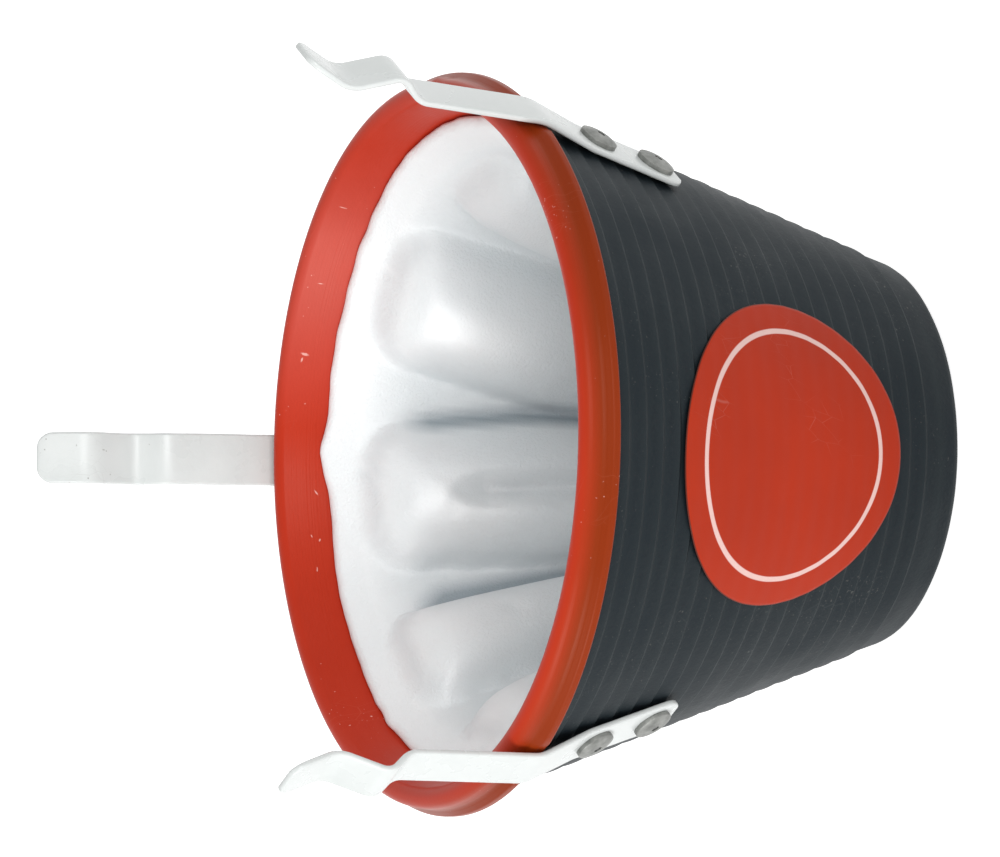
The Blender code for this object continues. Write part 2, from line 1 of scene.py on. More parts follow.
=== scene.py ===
# %% [markdown]
# # A trumpet bucket mute
#
# This mute is a red plastic bucket in a ribbed black rubber sleeve. A sheet of pearly foam is glued
# round the inside of its mouth and falls in nine soft folds. Three white coated spring strips are
# riveted through the walls and grip the edge of the trumpet's bell.
#
# The solids, with their joints, come first and stay fixed. Every piece made here is built in the same
# frame, in metres, stands for one of those solids, and moves with the body that it names.

# %% Load the fixed frame
import math

import bmesh
import bpy
from mathutils import Matrix, Vector, noise


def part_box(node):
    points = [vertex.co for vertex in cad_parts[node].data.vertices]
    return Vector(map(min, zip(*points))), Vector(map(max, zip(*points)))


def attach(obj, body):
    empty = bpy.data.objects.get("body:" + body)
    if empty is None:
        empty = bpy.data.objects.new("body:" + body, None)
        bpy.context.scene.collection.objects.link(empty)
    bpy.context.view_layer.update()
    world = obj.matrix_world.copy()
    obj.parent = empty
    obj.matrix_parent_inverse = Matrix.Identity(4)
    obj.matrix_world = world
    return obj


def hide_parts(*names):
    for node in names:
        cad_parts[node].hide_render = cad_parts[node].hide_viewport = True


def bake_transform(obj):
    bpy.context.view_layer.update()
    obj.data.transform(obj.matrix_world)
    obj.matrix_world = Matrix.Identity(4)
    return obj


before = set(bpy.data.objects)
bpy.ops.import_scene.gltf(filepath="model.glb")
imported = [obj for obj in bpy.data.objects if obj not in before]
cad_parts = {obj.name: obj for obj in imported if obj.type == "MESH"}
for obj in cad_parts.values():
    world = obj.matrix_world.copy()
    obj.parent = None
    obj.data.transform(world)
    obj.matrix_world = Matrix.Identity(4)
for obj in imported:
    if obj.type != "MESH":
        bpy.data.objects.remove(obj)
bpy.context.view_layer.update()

MM = 0.001

# %% [markdown]
# ## The cone that everything shares
#
# The sleeve is a cone, and each wall inside it lies at a depth square to that cone. So one function
# gives the radius at any height and depth, and each piece asks it for its place. The height and the
# mouth's radius are read from the sleeve's solid.

# %% The shared cone
MOUTH_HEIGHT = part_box("outer_sleeve")[1].z
MOUTH_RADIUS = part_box("outer_sleeve")[1].y
BASE_RADIUS = 29.75 * MM
SLOPE = (MOUTH_RADIUS - BASE_RADIUS) / MOUTH_HEIGHT
HALF_ANGLE = math.atan(SLOPE)


def cone_radius(z, depth=0.0):
    """Radius at height z of the cone at this depth inside the sleeve's mean surface."""
    return BASE_RADIUS + SLOPE * z - depth / math.cos(HALF_ANGLE)


def wall_point(z, depth=0.0):
    """(radius, z) on that cone, as a corner of a turned outline."""
    return Vector((cone_radius(z, depth), z))


def round_axis(angle, radius, z):
    """Point at an angle round the mute, from the label's side (-Y) towards +X."""
    return Vector((radius * math.sin(angle), -radius * math.cos(angle), z))


print(f"mouth {MOUTH_RADIUS / MM:.1f} mm, height {MOUTH_HEIGHT / MM:.1f} mm, slope {SLOPE:.3f}")

# %% [markdown]
# ## Rounded outlines
#
# Moulded rubber, moulded plastic and dipped metal have no sharp corners. One helper turns the corners
# of an outline into arcs, each with its own radius.

# %% Corners to arcs
SHARP = 0.01 * MM


def outline(*pairs):
    """Corners of an outline from (radius, z) pairs."""
    return [Vector(pair) for pair in pairs]


def filleted(corners, radii, steps=4):
    """Rounds each corner of an open outline by its own radius."""
    points = [corners[0]]
    for before, corner, after, radius in zip(corners, corners[1:], corners[2:], radii[1:]):
        into = (corner - before).normalized()
        out = (after - corner).normalized()
        turn = math.acos(max(-1.0, min(1.0, into.dot(out))))
        if radius < SHARP or turn < SHARP:
            points.append(corner)
            continue
        inward = (out - into).normalized()
        along = (into + out).normalized()
        centre = corner + inward * radius / math.cos(turn / 2)
        for i in range(steps + 1):
            angle = (i / steps - 0.5) * turn
            points.append(centre + radius * (along * math.sin(angle) - inward * math.cos(angle)))
    return points + [corners[-1]]


def arc(centre, radius, start, end, steps):
    """Points of an arc, with its angles in degrees from straight outwards towards +Z."""
    angles = [math.radians(start + (end - start) * i / steps) for i in range(steps + 1)]
    return [centre + radius * Vector((math.cos(a), math.sin(a))) for a in angles]


# %% [markdown]
# ## Rings to meshes
#
# Nearly every piece is a stack of rings: a wall turned round its axis, a strip's section carried along
# its bends, a round label. The Screw modifier turns a profile too, but rings made in code can also be
# pushed about point by point, which the foam needs.

# %% Rings to meshes
def skin(rings, closed=False):
    """Joins rings into a mesh. A ring of one point is a pole; an open end with more points is capped."""
    made = bmesh.new()
    rows = [[made.verts.new(point) for point in ring] for ring in rings]
    pairs = list(zip(rows, rows[1:]))
    if closed:
        pairs.append((rows[-1], rows[0]))
    for lower, upper in pairs:
        count = max(len(lower), len(upper))
        for i in range(count):
            j = (i + 1) % count
            face = []
            for row, index in ((lower, i), (lower, j), (upper, j), (upper, i)):
                if row[index % len(row)] not in face:
                    face.append(row[index % len(row)])
            made.faces.new(face)
    if not closed:
        for row in (rows[0], rows[-1]):
            if len(row) > 2:
                made.faces.new(row)
    bmesh.ops.recalc_face_normals(made, faces=made.faces[:])
    return made


def turned_rings(profile, segments, shape=None):
    """Rings of a turned profile; shape may move each point by its angle."""
    rings = []
    for radius, z in profile:
        if radius < SHARP:
            rings.append([Vector((0.0, 0.0, z))])
            continue
        angles = [2 * math.pi * i / segments for i in range(segments)]
        ring = [round_axis(angle, radius, z) for angle in angles]
        rings.append([shape(point) for point in ring] if shape else ring)
    return rings


def new_object(name, data):
    placed = bpy.data.objects.new(name, data)
    bpy.context.scene.collection.objects.link(placed)
    return placed


def add_piece(name, made, finish, body="bucket", crease=50.0):
    """Adds a mesh as a piece that rides on a body and takes a material slot."""
    mesh = bpy.data.meshes.new(name)
    made.to_mesh(mesh)
    made.free()
    mesh.shade_smooth()
    mesh.set_sharp_from_angle(angle=math.radians(crease))
    mesh.materials.append(finish)
    piece = new_object(name, mesh)
    if body:
        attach(piece, body)
    print(f"{name}: {len(mesh.polygons)} faces")
    return piece


# %% [markdown]
# ## Small effects that several materials share
#
# Up close no surface of a used mute is one flat colour. Each effect is a node group with its own
# inputs, built once. A material sets the inputs and decides what the result changes, so all can share
# them and look unlike.

# %% Helpers for node trees
def feed(tree, value, socket):
    """Sets a socket to a plain value, or links it when the value is a pair (node, output)."""
    if isinstance(value, tuple) and isinstance(value[0], bpy.types.Node):
        tree.links.new(value[0].outputs[value[1]], socket)
    else:
        socket.default_value = value


def node(tree, kind, **values):
    """Adds a shader node; settings are in lower case, and inputs go by their names."""
    made = tree.nodes.new("ShaderNode" + kind)
    for name, value in values.items():
        if name.islower():
            setattr(made, name, value)
        else:
            feed(tree, value, made.inputs[name.replace("_", " ")])
    return made


def maths(tree, operation, *values, kind="Math", output="Value"):
    """A sum of numbers or pairs, which is a pair itself."""
    made = node(tree, kind, operation=operation)
    for socket, value in zip(made.inputs, values):
        feed(tree, value, socket)
    return made, output


def length(tree, vector):
    return maths(tree, "LENGTH", vector, kind="VectorMath")


def ramp(tree, mask, low, high, start=0.0, end=1.0):
    """A value that runs from start to end while the mask runs from low to high."""
    made = node(tree, "MapRange", Value=mask, From_Min=low, From_Max=high, To_Min=start, To_Max=end)
    return made, "Result"


def object_place(tree):
    return node(tree, "TexCoord"), "Object"


def new_group(name, inputs, outputs):
    """Starts a node group with float inputs, given with their defaults, and named outputs."""
    group = bpy.data.node_groups.new(name, "ShaderNodeTree")
    for label, default in inputs.items():
        socket = group.interface.new_socket(label, in_out="INPUT", socket_type="NodeSocketFloat")
        socket.default_value = default
    for label in outputs:
        group.interface.new_socket(label, in_out="OUTPUT", socket_type="NodeSocketFloat")
    return group, group.nodes.new("NodeGroupInput"), object_place(group)


def close_group(group, **results):
    """Wires the results, as pairs, to the group's outputs."""
    ending = group.nodes.new("NodeGroupOutput")
    for label, result in results.items():
        feed(group, result, ending.inputs[label])
    print("shared effect:", group.name)
    return group


# %% [markdown]
# ## Fine grain
#
# Moulds and dips leave a skin of tiny lumps, and patches of unlike tone. Two noises give both.

# %% Grain of moulded and dipped surfaces
def grain_group():
    scales = {"Scale": 900.0, "Patch Scale": 60.0}
    group, entry, place = new_group("fine_grain", scales, ["Height", "Patches"])
    fine = node(group, "TexNoise", Vector=place, Scale=(entry, "Scale"), Detail=3.0, Roughness=0.6)
    patches = node(group, "TexNoise", Vector=place, Scale=(entry, "Patch Scale"), Detail=4.0, Roughness=0.55)
    return close_group(group, Height=(fine, "Fac"), Patches=(patches, "Fac"))


FINE_GRAIN = grain_group()

# %% [markdown]
# ## Specks and scratches
#
# Both gather where a mute is handled. The borders of a stretched cell pattern make straight lines,
# and a broad noise breaks them up and gathers the specks.

# %% Scuffs of handling
AREA_SCALE = 55.0
AREA_SHARE = 0.5
SPECK_START, SPECK_FULL = 0.32, 1.2
SCRATCH_TURN = 0.7
SCRATCH_STRETCH = (1.0, 9.0, 3.0)
SCRATCH_WIDTH = 0.012
SCRATCHED_AREA = (0.58, 0.7)


def scuff_group():
    inputs = {"Speck Scale": 1500.0, "Rarity": 0.72, "Scratch Scale": 60.0}
    group, entry, place = new_group("handling_scuffs", inputs, ["Specks", "Scratches"])
    area = node(group, "TexNoise", Vector=place, Scale=AREA_SCALE, Detail=2.0), "Fac"
    dots = node(group, "TexNoise", Vector=place, Scale=(entry, "Speck Scale"), Detail=1.0), "Fac"
    start = maths(group, "ADD", (entry, "Rarity"), SPECK_START)
    specks = ramp(group, maths(group, "MULTIPLY_ADD", area, AREA_SHARE, dots), start, SPECK_FULL)
    turned = node(group, "VectorRotate", Vector=place, Angle=SCRATCH_TURN), "Vector"
    stretched = node(group, "Mapping", Vector=turned, Scale=SCRATCH_STRETCH), "Vector"
    cells = node(group, "TexVoronoi", Vector=stretched, Scale=(entry, "Scratch Scale"),
                 feature="DISTANCE_TO_EDGE")
    lines = ramp(group, (cells, "Distance"), SCRATCH_WIDTH, 0.0)
    scratches = maths(group, "MULTIPLY", lines, ramp(group, area, *SCRATCHED_AREA))
    return close_group(group, Specks=specks, Scratches=scratches)


HANDLING_SCUFFS = scuff_group()

# %% [markdown]
# ## One way to start every material
#
# What is the same all over a finish, such as its gloss level, is set on its Principled shader. What
# changes over the surface is a colour laid on by masks, a range of roughness and a bump from the grain.
# One function starts a material, and each finish then lays its own colours.

# %% Helpers for finishes
NOISE_RANGE = (0.3, 0.7)
MIX_COLOURS = slice(6, 8)
MIX_RESULT = 2


def effect(tree, group, *values):
    """Places a shared effect in a material, with its inputs' values in order."""
    placed = node(tree, "Group", node_tree=group)
    for socket, value in zip(placed.inputs, values):
        socket.default_value = value
    return placed


def tinted(tree, mask, low, high, first, second):
    """Colour that goes from first to second as a mask goes from low to high."""
    mixed = node(tree, "Mix", data_type="RGBA", Factor=ramp(tree, mask, low, high))
    for socket, colour in zip(mixed.inputs[MIX_COLOURS], (first, second)):
        feed(tree, colour if isinstance(colour[0], bpy.types.Node) else (*colour, 1.0), socket)
    return mixed, MIX_RESULT


def layered(tree, shader, body, *layers):
    """Lays colours over the body, each given as mask, start of the mask, end of the mask, colour."""
    for mask, low, high, colour in layers:
        body = tinted(tree, mask, low, high, body, colour)
    feed(tree, body, shader.inputs["Base Color"])


def start_finish(name, grains, scuffing, colours, rough, depth, varied="Patches", **uniform):
    """Starts a finish that is mottled between two colours, and returns what the rest of it needs.

    grains are the scales of relief and patches; scuffing is the scale of the specks, how rare they
    are, and the scale of the scratches; rough is a range, and depth is that of the grain.
    """
    finish = bpy.data.materials.new(name)
    finish.use_nodes = True
    tree = finish.node_tree
    shader = tree.nodes["Principled BSDF"]
    for label, value in uniform.items():
        shader.inputs[label.replace("_", " ")].default_value = value
    grain = effect(tree, FINE_GRAIN, *grains)
    scuffs = effect(tree, HANDLING_SCUFFS, *scuffing) if scuffing else None
    body = tinted(tree, (grain, "Patches"), *NOISE_RANGE, *colours)
    feed(tree, ramp(tree, (grain, varied), *NOISE_RANGE, *rough), shader.inputs["Roughness"])
    bump = node(tree, "Bump", Height=(grain, "Height"), Distance=depth)
    feed(tree, (bump, "Normal"), shader.inputs["Normal"])
    print("finish:", name)
    return finish, tree, shader, grain, scuffs, body


# %% [markdown]
# ## Black ribbed rubber
#
# The sleeve is moulded rubber, nearly black with a cold tinge. Its gloss is low and broad, so it
# lightens only at a glancing angle. The crests of the ribs are painted a little paler, a painted
# highlight along each rib, and dust and a few pale specks show the mute's age.

# %% Finish of the sleeve
RIB_COUNT = 19
RIB_STEP_LENGTH = 0.5 * MM
RIB_MOUTH_MARGIN = 2.9 * MM
RIB_BASE_MARGIN = 7.0 * MM
RIB_PITCH = (MOUTH_HEIGHT - RIB_MOUTH_MARGIN - RIB_BASE_MARGIN) / (RIB_COUNT - 1)
CREST_REACH = (1.9 * MM, 0.45 * MM)
CREST_UNEVENNESS = 0.9 * MM

RUBBER, tree, shader, grain, scuffs, body = start_finish(
    "black_ribbed_rubber", (1400.0, 70.0), (2200.0, 0.68, 90.0),
    ((0.002, 0.004, 0.006), (0.006, 0.009, 0.012)), (0.48, 0.62), 0.06 * MM,
    Specular_IOR_Level=0.20, Specular_Tint=(0.74, 0.92, 1.0, 1.0))
parts = node(tree, "SeparateXYZ", Vector=object_place(tree))
above_first = maths(tree, "SUBTRACT", (parts, "Z"), RIB_BASE_MARGIN + RIB_STEP_LENGTH)
phase = maths(tree, "WRAP", above_first, RIB_PITCH / 2, -RIB_PITCH / 2)
from_crest = maths(tree, "ABSOLUTE", phase)
uneven_crest = maths(tree, "MULTIPLY_ADD", (grain, "Patches"), CREST_UNEVENNESS, from_crest)
# Paler crests are a painted highlight along each rib.
crest_highlight = (uneven_crest, *CREST_REACH, (0.009, 0.013, 0.015))
lumps = ((grain, "Height"), 0.42, 0.70, (0.007, 0.010, 0.012))
dust = ((scuffs, "Specks"), 0.0, 0.8, (0.09, 0.09, 0.085))
scratches = ((scuffs, "Scratches"), 0.0, 4.0, (0.08, 0.09, 0.09))
layered(tree, shader, body, crest_highlight, lumps, dust, scratches)

# %% [markdown]
# ## Red moulded plastic
#
# The bucket is a satin orange-red plastic. Handling has polished some patches and dulled others. The outer
# band of the rim below the lip is painted darker, a painted shade, and the inside wall on the +X side is
# painted paler pink, a painted highlight. The inside wall near the mouth carries small white nicks and hair
# scratches. The mould's turning left fine lines round the rim.

# %% Finish of the bucket
RED = (0.53, 0.037, 0.014)
DEEP_RED = (0.48, 0.031, 0.011)
VALLEY_SHADE_RED = (0.19, 0.026, 0.001)
HIGHLIGHT_PINK = (0.84, 0.30, 0.27)
# Where the painted shade and the painted highlight start and are full: radius, height, and place along X
OUTER_RIM = (54.2 * MM, 55.6 * MM)
INNER_RIM = (54.4 * MM, 52.6 * MM)
BELOW_LIP = (77.2 * MM, 74.4 * MM)
LIP_SHADE_START = 0.35
HIGHLIGHT_RISE = (2 * MM, 20 * MM)
HIGHLIGHT_FALL = (46 * MM, 32 * MM)
# Nicks on the inside of the rim: place, half width round the rim and half height (mm), lean (degrees)
RIM_NICKS = [
    ((36.6, 37.0, 74.5), 0.12, 0.75, 4),
    ((24.7, 45.6, 74.0), 0.10, 0.60, 0),
    ((13.6, 50.1, 74.4), 0.28, 0.72, 8),
    ((12.7, 50.3, 74.7), 0.45, 0.16, 15),
    ((-8.1, 50.4, 71.6), 0.55, 0.14, -35),
    ((-15.6, 49.0, 71.6), 0.30, 0.16, 20),
    ((-15.0, 49.3, 72.8), 0.35, 0.12, -20),
    ((-20.2, 47.5, 72.6), 0.45, 0.12, 10),
]
NICK_FRAY = 1.4
NICK_EDGE = (1.7, 1.1)
TURNED_LINES = 2600.0


def nick(tree, place, grain, spot, half_round, half_up, lean):
    """Mask of one small broken mark at a place on a turned wall."""
    local = node(tree, "Mapping", vector_type="TEXTURE", Vector=place, Location=Vector(spot) * MM,
                 Rotation=(math.radians(lean), 0.0, math.atan2(spot[1], spot[0])),
                 Scale=(2 * MM, half_round * MM, half_up * MM))
    away = length(tree, (local, "Vector"))
    return ramp(tree, maths(tree, "MULTIPLY_ADD", (grain, "Height"), NICK_FRAY, away), *NICK_EDGE)


PLASTIC, tree, shader, grain, scuffs, body = start_finish(
    "satin_red_plastic", (1800.0, 45.0), (1600.0, 0.72, 45.0), (DEEP_RED, RED), (0.30, 0.46),
    0.015 * MM, Specular_IOR_Level=0.16, Specular_Tint=(1.0, 0.68, 0.58, 1.0))
place = object_place(tree)
parts = node(tree, "SeparateXYZ", Vector=place)
level = maths(tree, "MULTIPLY", place, (1.0, 1.0, 0.0), kind="VectorMath", output="Vector")
radius = length(tree, level)
# Painted shade on the rim's outer band below the lip, and a painted highlight on the inside wall towards +X.
valley = maths(tree, "MULTIPLY", ramp(tree, radius, *OUTER_RIM),
               ramp(tree, (parts, "Z"), *BELOW_LIP, start=LIP_SHADE_START))
highlight_band = maths(tree, "MULTIPLY", ramp(tree, (parts, "X"), *HIGHLIGHT_RISE),
                ramp(tree, (parts, "X"), *HIGHLIGHT_FALL))
valley_shade = (valley, 0.0, 1.2, VALLEY_SHADE_RED)
painted_highlight = (maths(tree, "MULTIPLY", highlight_band, ramp(tree, radius, *INNER_RIM)), 0.0, 6.5, HIGHLIGHT_PINK)
nicks = [(nick(tree, place, grain, *each), 0.0, 1.3, (0.86, 0.50, 0.44)) for each in RIM_NICKS]
specks = ((scuffs, "Specks"), 0.0, 0.8, (0.85, 0.50, 0.44))
scratches = ((scuffs, "Scratches"), 0.0, 7.0, (0.80, 0.30, 0.22))
layered(tree, shader, body, valley_shade, painted_highlight, *nicks, specks, scratches)
lines = node(tree, "TexNoise", noise_dimensions="1D", W=(parts, "Z"), Scale=TURNED_LINES, Detail=3.0)
relief = maths(tree, "MULTIPLY_ADD", (lines, "Fac"), 2.0, (grain, "Height"))
feed(tree, relief, tree.nodes["Bump"].inputs["Height"])

# %% [markdown]
# ## Pearly foam
#
# The lining is a thin closed-cell foam, white all over, so its look comes from its gloss. Its tiny cells
# are a bump, which breaks a broad highlight up. A coat gives the sheen, strongest on the crowns of the
# folds, which are also painted paler as a painted highlight. The creases, the outlines of the folds, the
# valleys and the hollow are painted grey, a painted shade.

# %% Finish of the lining
FOAM, tree, shader, _, _, body = start_finish(
    "pearly_foam", (2300.0, 50.0), None, ((0.88, 0.92, 0.93), (0.925, 0.955, 0.96)),
    (0.34, 0.46), 0.16 * MM, Specular_IOR_Level=0.9, Coat_Roughness=0.42, Coat_IOR=2.6,
    Subsurface_Weight=0.15, Subsurface_Radius=(1.0, 1.0, 1.0), Subsurface_Scale=1.5 * MM)
crease = node(tree, "Attribute", attribute_name="crease"), "Fac"
crown = node(tree, "Attribute", attribute_name="crown"), "Fac"
# Paler crowns are a painted highlight, and grey creases a painted shade; the crown also sets the coat.
stretched = (crown, 0.0, 1.0, (0.955, 0.975, 0.97))
shaded = (crease, 0.0, 1.0, (0.30, 0.355, 0.39))
layered(tree, shader, body, stretched, shaded)
feed(tree, ramp(tree, crown, 0.0, 1.0, 0.06, 1.0), shader.inputs["Coat Weight"])

# %% [markdown]
# ## White dipped coating
#
# The strips were dipped in white plastic. The coat is thick and smooth, gathers at the edges, and has
# greyed a little where the bell and fingers rub it.

# %% Finish of the strips
COATING, tree, shader, _, scuffs, body = start_finish(
    "white_dipped_coating", (500.0, 90.0), (1500.0, 0.73, 80.0),
    ((0.63, 0.66, 0.65), (0.69, 0.715, 0.705)), (0.22, 0.36), 0.03 * MM)
specks = ((scuffs, "Specks"), 0.0, 0.6, (0.30, 0.30, 0.28))
scratches = ((scuffs, "Scratches"), 0.0, 3.0, (0.45, 0.45, 0.43))
layered(tree, shader, body, specks, scratches)

# %% [markdown]
# ## Metals and felt
#
# The rivets are dull cast-looking aluminium with pits, the snapped pins and washers are darker steel.
# The felt pad under the foam is matt and mottled. All are small, so one function makes all three.

# %% Finishes of rivets, steel and felt
def pitted_finish(name, dark, light, rough, metallic, scale, depth):
    """Mottled finish with pits: colours, range of roughness, scale and depth of the grain."""
    finish, tree, shader, _, scuffs, body = start_finish(
        name, (scale, scale / 3), (scale / 2, 0.6, scale / 6), (dark, light), rough, depth,
        varied="Height", Metallic=metallic)
    layered(tree, shader, body, ((scuffs, "Scratches"), 0.0, 2.0, dark))
    return finish


RIVET_METAL = pitted_finish(
    "dull_aluminium", (0.15, 0.155, 0.145), (0.29, 0.295, 0.28), (0.40, 0.60), 0.7, 1500.0, 0.06 * MM)
STEEL = pitted_finish(
    "dark_steel", (0.08, 0.08, 0.078), (0.18, 0.18, 0.175), (0.35, 0.55), 0.8, 1200.0, 0.02 * MM)
FELT = pitted_finish(
    "grey_felt", (0.40, 0.40, 0.39), (0.55, 0.55, 0.53), (0.85, 1.0), 0.0, 1800.0, 0.2 * MM)
print("finishes so far:", len(bpy.data.materials))

# %% [markdown]
# ## The ribbed sleeve
#
# Each rib is a sloping land that ends in a small step facing the closed end. The outline is two
# corners a rib, a foot and a crest, rounded a little. Real rubber is never quite true, so a slow
# noise moves the surface by a few hundredths of a millimetre, which makes the highlights waver.

# %% Build the sleeve
SLEEVE_WALL = 1.5 * MM
SLEEVE_FLOOR = 2.5 * MM
SLEEVE_CORNER = 2.0 * MM
RIB_STEP = 0.4 * MM
RIB_ROUND = 0.40 * MM
WALL_SEGMENTS = 216
# Waves of the rubber: length across, length up and height, in mm
RUBBER_WAVES = [(14, 3, 0.06), (4, 1.2, 0.03)]


def wavering(point):
    """Moves a point of the sleeve's outside a few hundredths of a millimetre."""
    swell = 0.0
    for across, up, height in RUBBER_WAVES:
        swell += height * noise.noise(Vector((point.x / across, point.y / across, point.z / up)) / MM)
    return point + Vector((point.x, point.y, 0.0)).normalized() * swell * MM


corners = outline((0.0, 0.0), wall_point(0.0))
radii = [0.0, SLEEVE_CORNER]
for rib in range(RIB_COUNT):
    foot = RIB_BASE_MARGIN + RIB_PITCH * rib
    crest = foot + RIB_STEP_LENGTH
    corners.append(wall_point(foot) - Vector((RIB_STEP / 2, 0.0)))
    corners.append(wall_point(crest) + Vector((RIB_STEP / 2, 0.0)))
    radii += [RIB_ROUND, RIB_ROUND]
corners.append(Vector((MOUTH_RADIUS, MOUTH_HEIGHT)))
outside = filleted(corners, radii, 3)
inside = [wall_point(z, SLEEVE_WALL) for z in (MOUTH_HEIGHT, SLEEVE_FLOOR)]
rings = turned_rings(outside[:-1], WALL_SEGMENTS, wavering)
rings += turned_rings([outside[-1], *inside, Vector((0.0, SLEEVE_FLOOR))], WALL_SEGMENTS)
piece = add_piece("ribbed_sleeve", skin(rings), RUBBER, crease=60.0)
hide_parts("outer_sleeve")

# %% [markdown]
# ## The red bucket
#
# Its rim has three bands that catch the light: a rolled lip, a shallow valley, and a flange over the
# sleeve's edge. A turned outline gives the bands, and a clamp on the points gives the flats under the
# strips.

# %% Build the bucket
GAP = 0.3 * MM
BUCKET_WALL = 1.4 * MM
BUCKET_FLOOR = 1.6 * MM
BUCKET_OUTSIDE = SLEEVE_WALL + GAP
BUCKET_INSIDE = BUCKET_OUTSIDE + BUCKET_WALL
BUCKET_BOTTOM = SLEEVE_FLOOR + GAP
FLANGE_BOTTOM = MOUTH_HEIGHT + GAP
FLANGE_EDGE = 1.2 * MM
RIM_RADIUS = -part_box("inner_bucket")[0].y
VALLEY_INSET = 1.0 * MM
VALLEY_RISE = 2.5 * MM
LIP_INSET = 0.75 * MM
LIP_RADIUS = 1.8 * MM
LIP_END = 155.0
LIP_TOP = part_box("inner_bucket")[1].z
LINING_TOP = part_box("lining")[1].z
CLIP_WIDTH = 8.1 * MM
CLIP_DIRECTIONS = {1: math.radians(62.2), 2: math.radians(-57.8), 3: math.radians(183.2)}
SEAT_RADIUS = MOUTH_RADIUS + 1.4 * MM
SEAT_HALF_WIDTH = CLIP_WIDTH / 2 + 0.6 * MM
SEAT_TOP = MOUTH_HEIGHT + 5.9 * MM
NUB_START = (54 * MM, 74 * MM)
NUB_HALF_WIDTH = 1.6 * MM
NUB_HEIGHT = 0.3 * MM


def with_rim_seats(point):
    """Flattens the flange under each strip, and leaves the mould's small nub on the lip."""
    if point.x > NUB_START[0] and point.z > NUB_START[1] and abs(point.y) < NUB_HALF_WIDTH:
        point = point + Vector((NUB_HEIGHT * (1 - (point.y / NUB_HALF_WIDTH) ** 2), 0.0, 0.0))
    if not FLANGE_BOTTOM - GAP < point.z < SEAT_TOP:
        return point
    for angle in CLIP_DIRECTIONS.values():
        out = round_axis(angle, 1.0, 0.0)
        across = Vector((-out.y, out.x, 0.0))
        outward = point.dot(out)
        if outward > SEAT_RADIUS and abs(point.dot(across)) < SEAT_HALF_WIDTH:
            return point - out * (outward - SEAT_RADIUS)
    return point


lip = arc(Vector((MOUTH_RADIUS - LIP_INSET, LIP_TOP - LIP_RADIUS)), LIP_RADIUS, 0.0, LIP_END, 14)
floor_top = BUCKET_BOTTOM + BUCKET_FLOOR
below = outline(
    (0.0, BUCKET_BOTTOM), wall_point(BUCKET_BOTTOM, BUCKET_OUTSIDE),
    wall_point(FLANGE_BOTTOM, BUCKET_OUTSIDE), (RIM_RADIUS, FLANGE_BOTTOM),
    (RIM_RADIUS, FLANGE_BOTTOM + FLANGE_EDGE),
    (RIM_RADIUS - VALLEY_INSET, FLANGE_BOTTOM + VALLEY_RISE), lip[0])
below = filleted(below, [0.0, 1.0 * MM, 0.0, 0.45 * MM, 0.5 * MM, 1.6 * MM], 6)
above = outline(lip[-1], wall_point(LINING_TOP, BUCKET_INSIDE),
                wall_point(floor_top, BUCKET_INSIDE), (0.0, floor_top))
above = filleted(above, [0.0, 0.0, 1.0 * MM], 4)
rings = turned_rings(below + lip[1:] + above[1:], WALL_SEGMENTS, with_rim_seats)
piece = add_piece("red_bucket", skin(rings), PLASTIC, crease=40.0)
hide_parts("inner_bucket")

# %% [markdown]
# ## The felt pad
#
# A felt disc lies on the bucket's floor under the foam, and nothing of it shows. It is still made as
# felt: soft edges and a slightly uneven face.

# %% Build the felt pad
PAD_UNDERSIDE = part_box("base_pad")[0].z
PAD_BOTTOM = PAD_UNDERSIDE + 0.2 * MM
PAD_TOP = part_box("base_pad")[1].z
FELT_LUMPS = (5 * MM, 0.15 * MM)
LINING_OUTSIDE = BUCKET_INSIDE + GAP


def uneven(point):
    spread, height = FELT_LUMPS
    return point - Vector((0.0, 0.0, abs(noise.noise(point / spread)) * height))


corners = outline((0.0, PAD_BOTTOM), (cone_radius(PAD_UNDERSIDE, LINING_OUTSIDE), PAD_BOTTOM),
                  wall_point(PAD_TOP, LINING_OUTSIDE), (0.0, PAD_TOP))
rings = turned_rings(filleted(corners, [0.0, 0.8 * MM, 1.0 * MM]), WALL_SEGMENTS // 2, uneven)
piece = add_piece("felt_pad", skin(rings), FELT)
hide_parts("base_pad")

# %% [markdown]
# ## The folds of the lining
#
# The sheet is glued flat round the mouth, and below that it is too wide for the narrowing bucket, so it
# stands out in nine folds. Each has a rounded nose, a broad back with a soft hollow, and a valley on
# either side. A formula gives every point, with each fold a little unlike the next.

# %% Shape of the folds
FOLD_COUNT = 9
FOLD_DIRECTION = math.radians(191.5)
FOLD_START = 4.2 * MM
FOLD_HEIGHT = 8.5 * MM
FOLD_OUTLINE = 3.0
NOSE_LENGTH = 6.0 * MM
NOSE_WIDTH = 0.70
DEEP_WIDTH = 0.94
SPREAD_DEPTH = 26 * MM
SWELL_DEPTH = 13 * MM
CROWN_POWER = 2.4
SIDE_POWER = 0.62
HOLLOW_FOLD = 0
# The folds that the mouth shows differ: how far nose and foot stray sideways, their widths, a late start
FOLD_SHAPES = {
    1: (0.0, -0.20, 1.0, 0.62, 0.0),
    2: (0.0, -0.42, 1.0, 1.0, 0.0),
    7: (-0.20, 0.0, 1.0, 1.0, 2.5 * MM),
    8: (-0.22, 0.0, 1.08, 1.0, 0.0),
}
PLAIN_FOLD = (0.0, 0.0, 1.0, 1.0, 0.0)
# How dark the painted shade in the crease on a fold's upper side is, and how wide it runs out beside the
# fold
CREASES = {0: (1.0, 0.18), 1: (1.3, 0.42), 7: (0.05, 0.16), 8: (0.10, 0.16)}
PLAIN_CREASE = (0.6, 0.16)
# How far the crown, with its sheen and painted highlight, lies from a fold's middle
CROWN_SHIFTS = {0: 0.26, 1: 0.10, 8: 0.15}


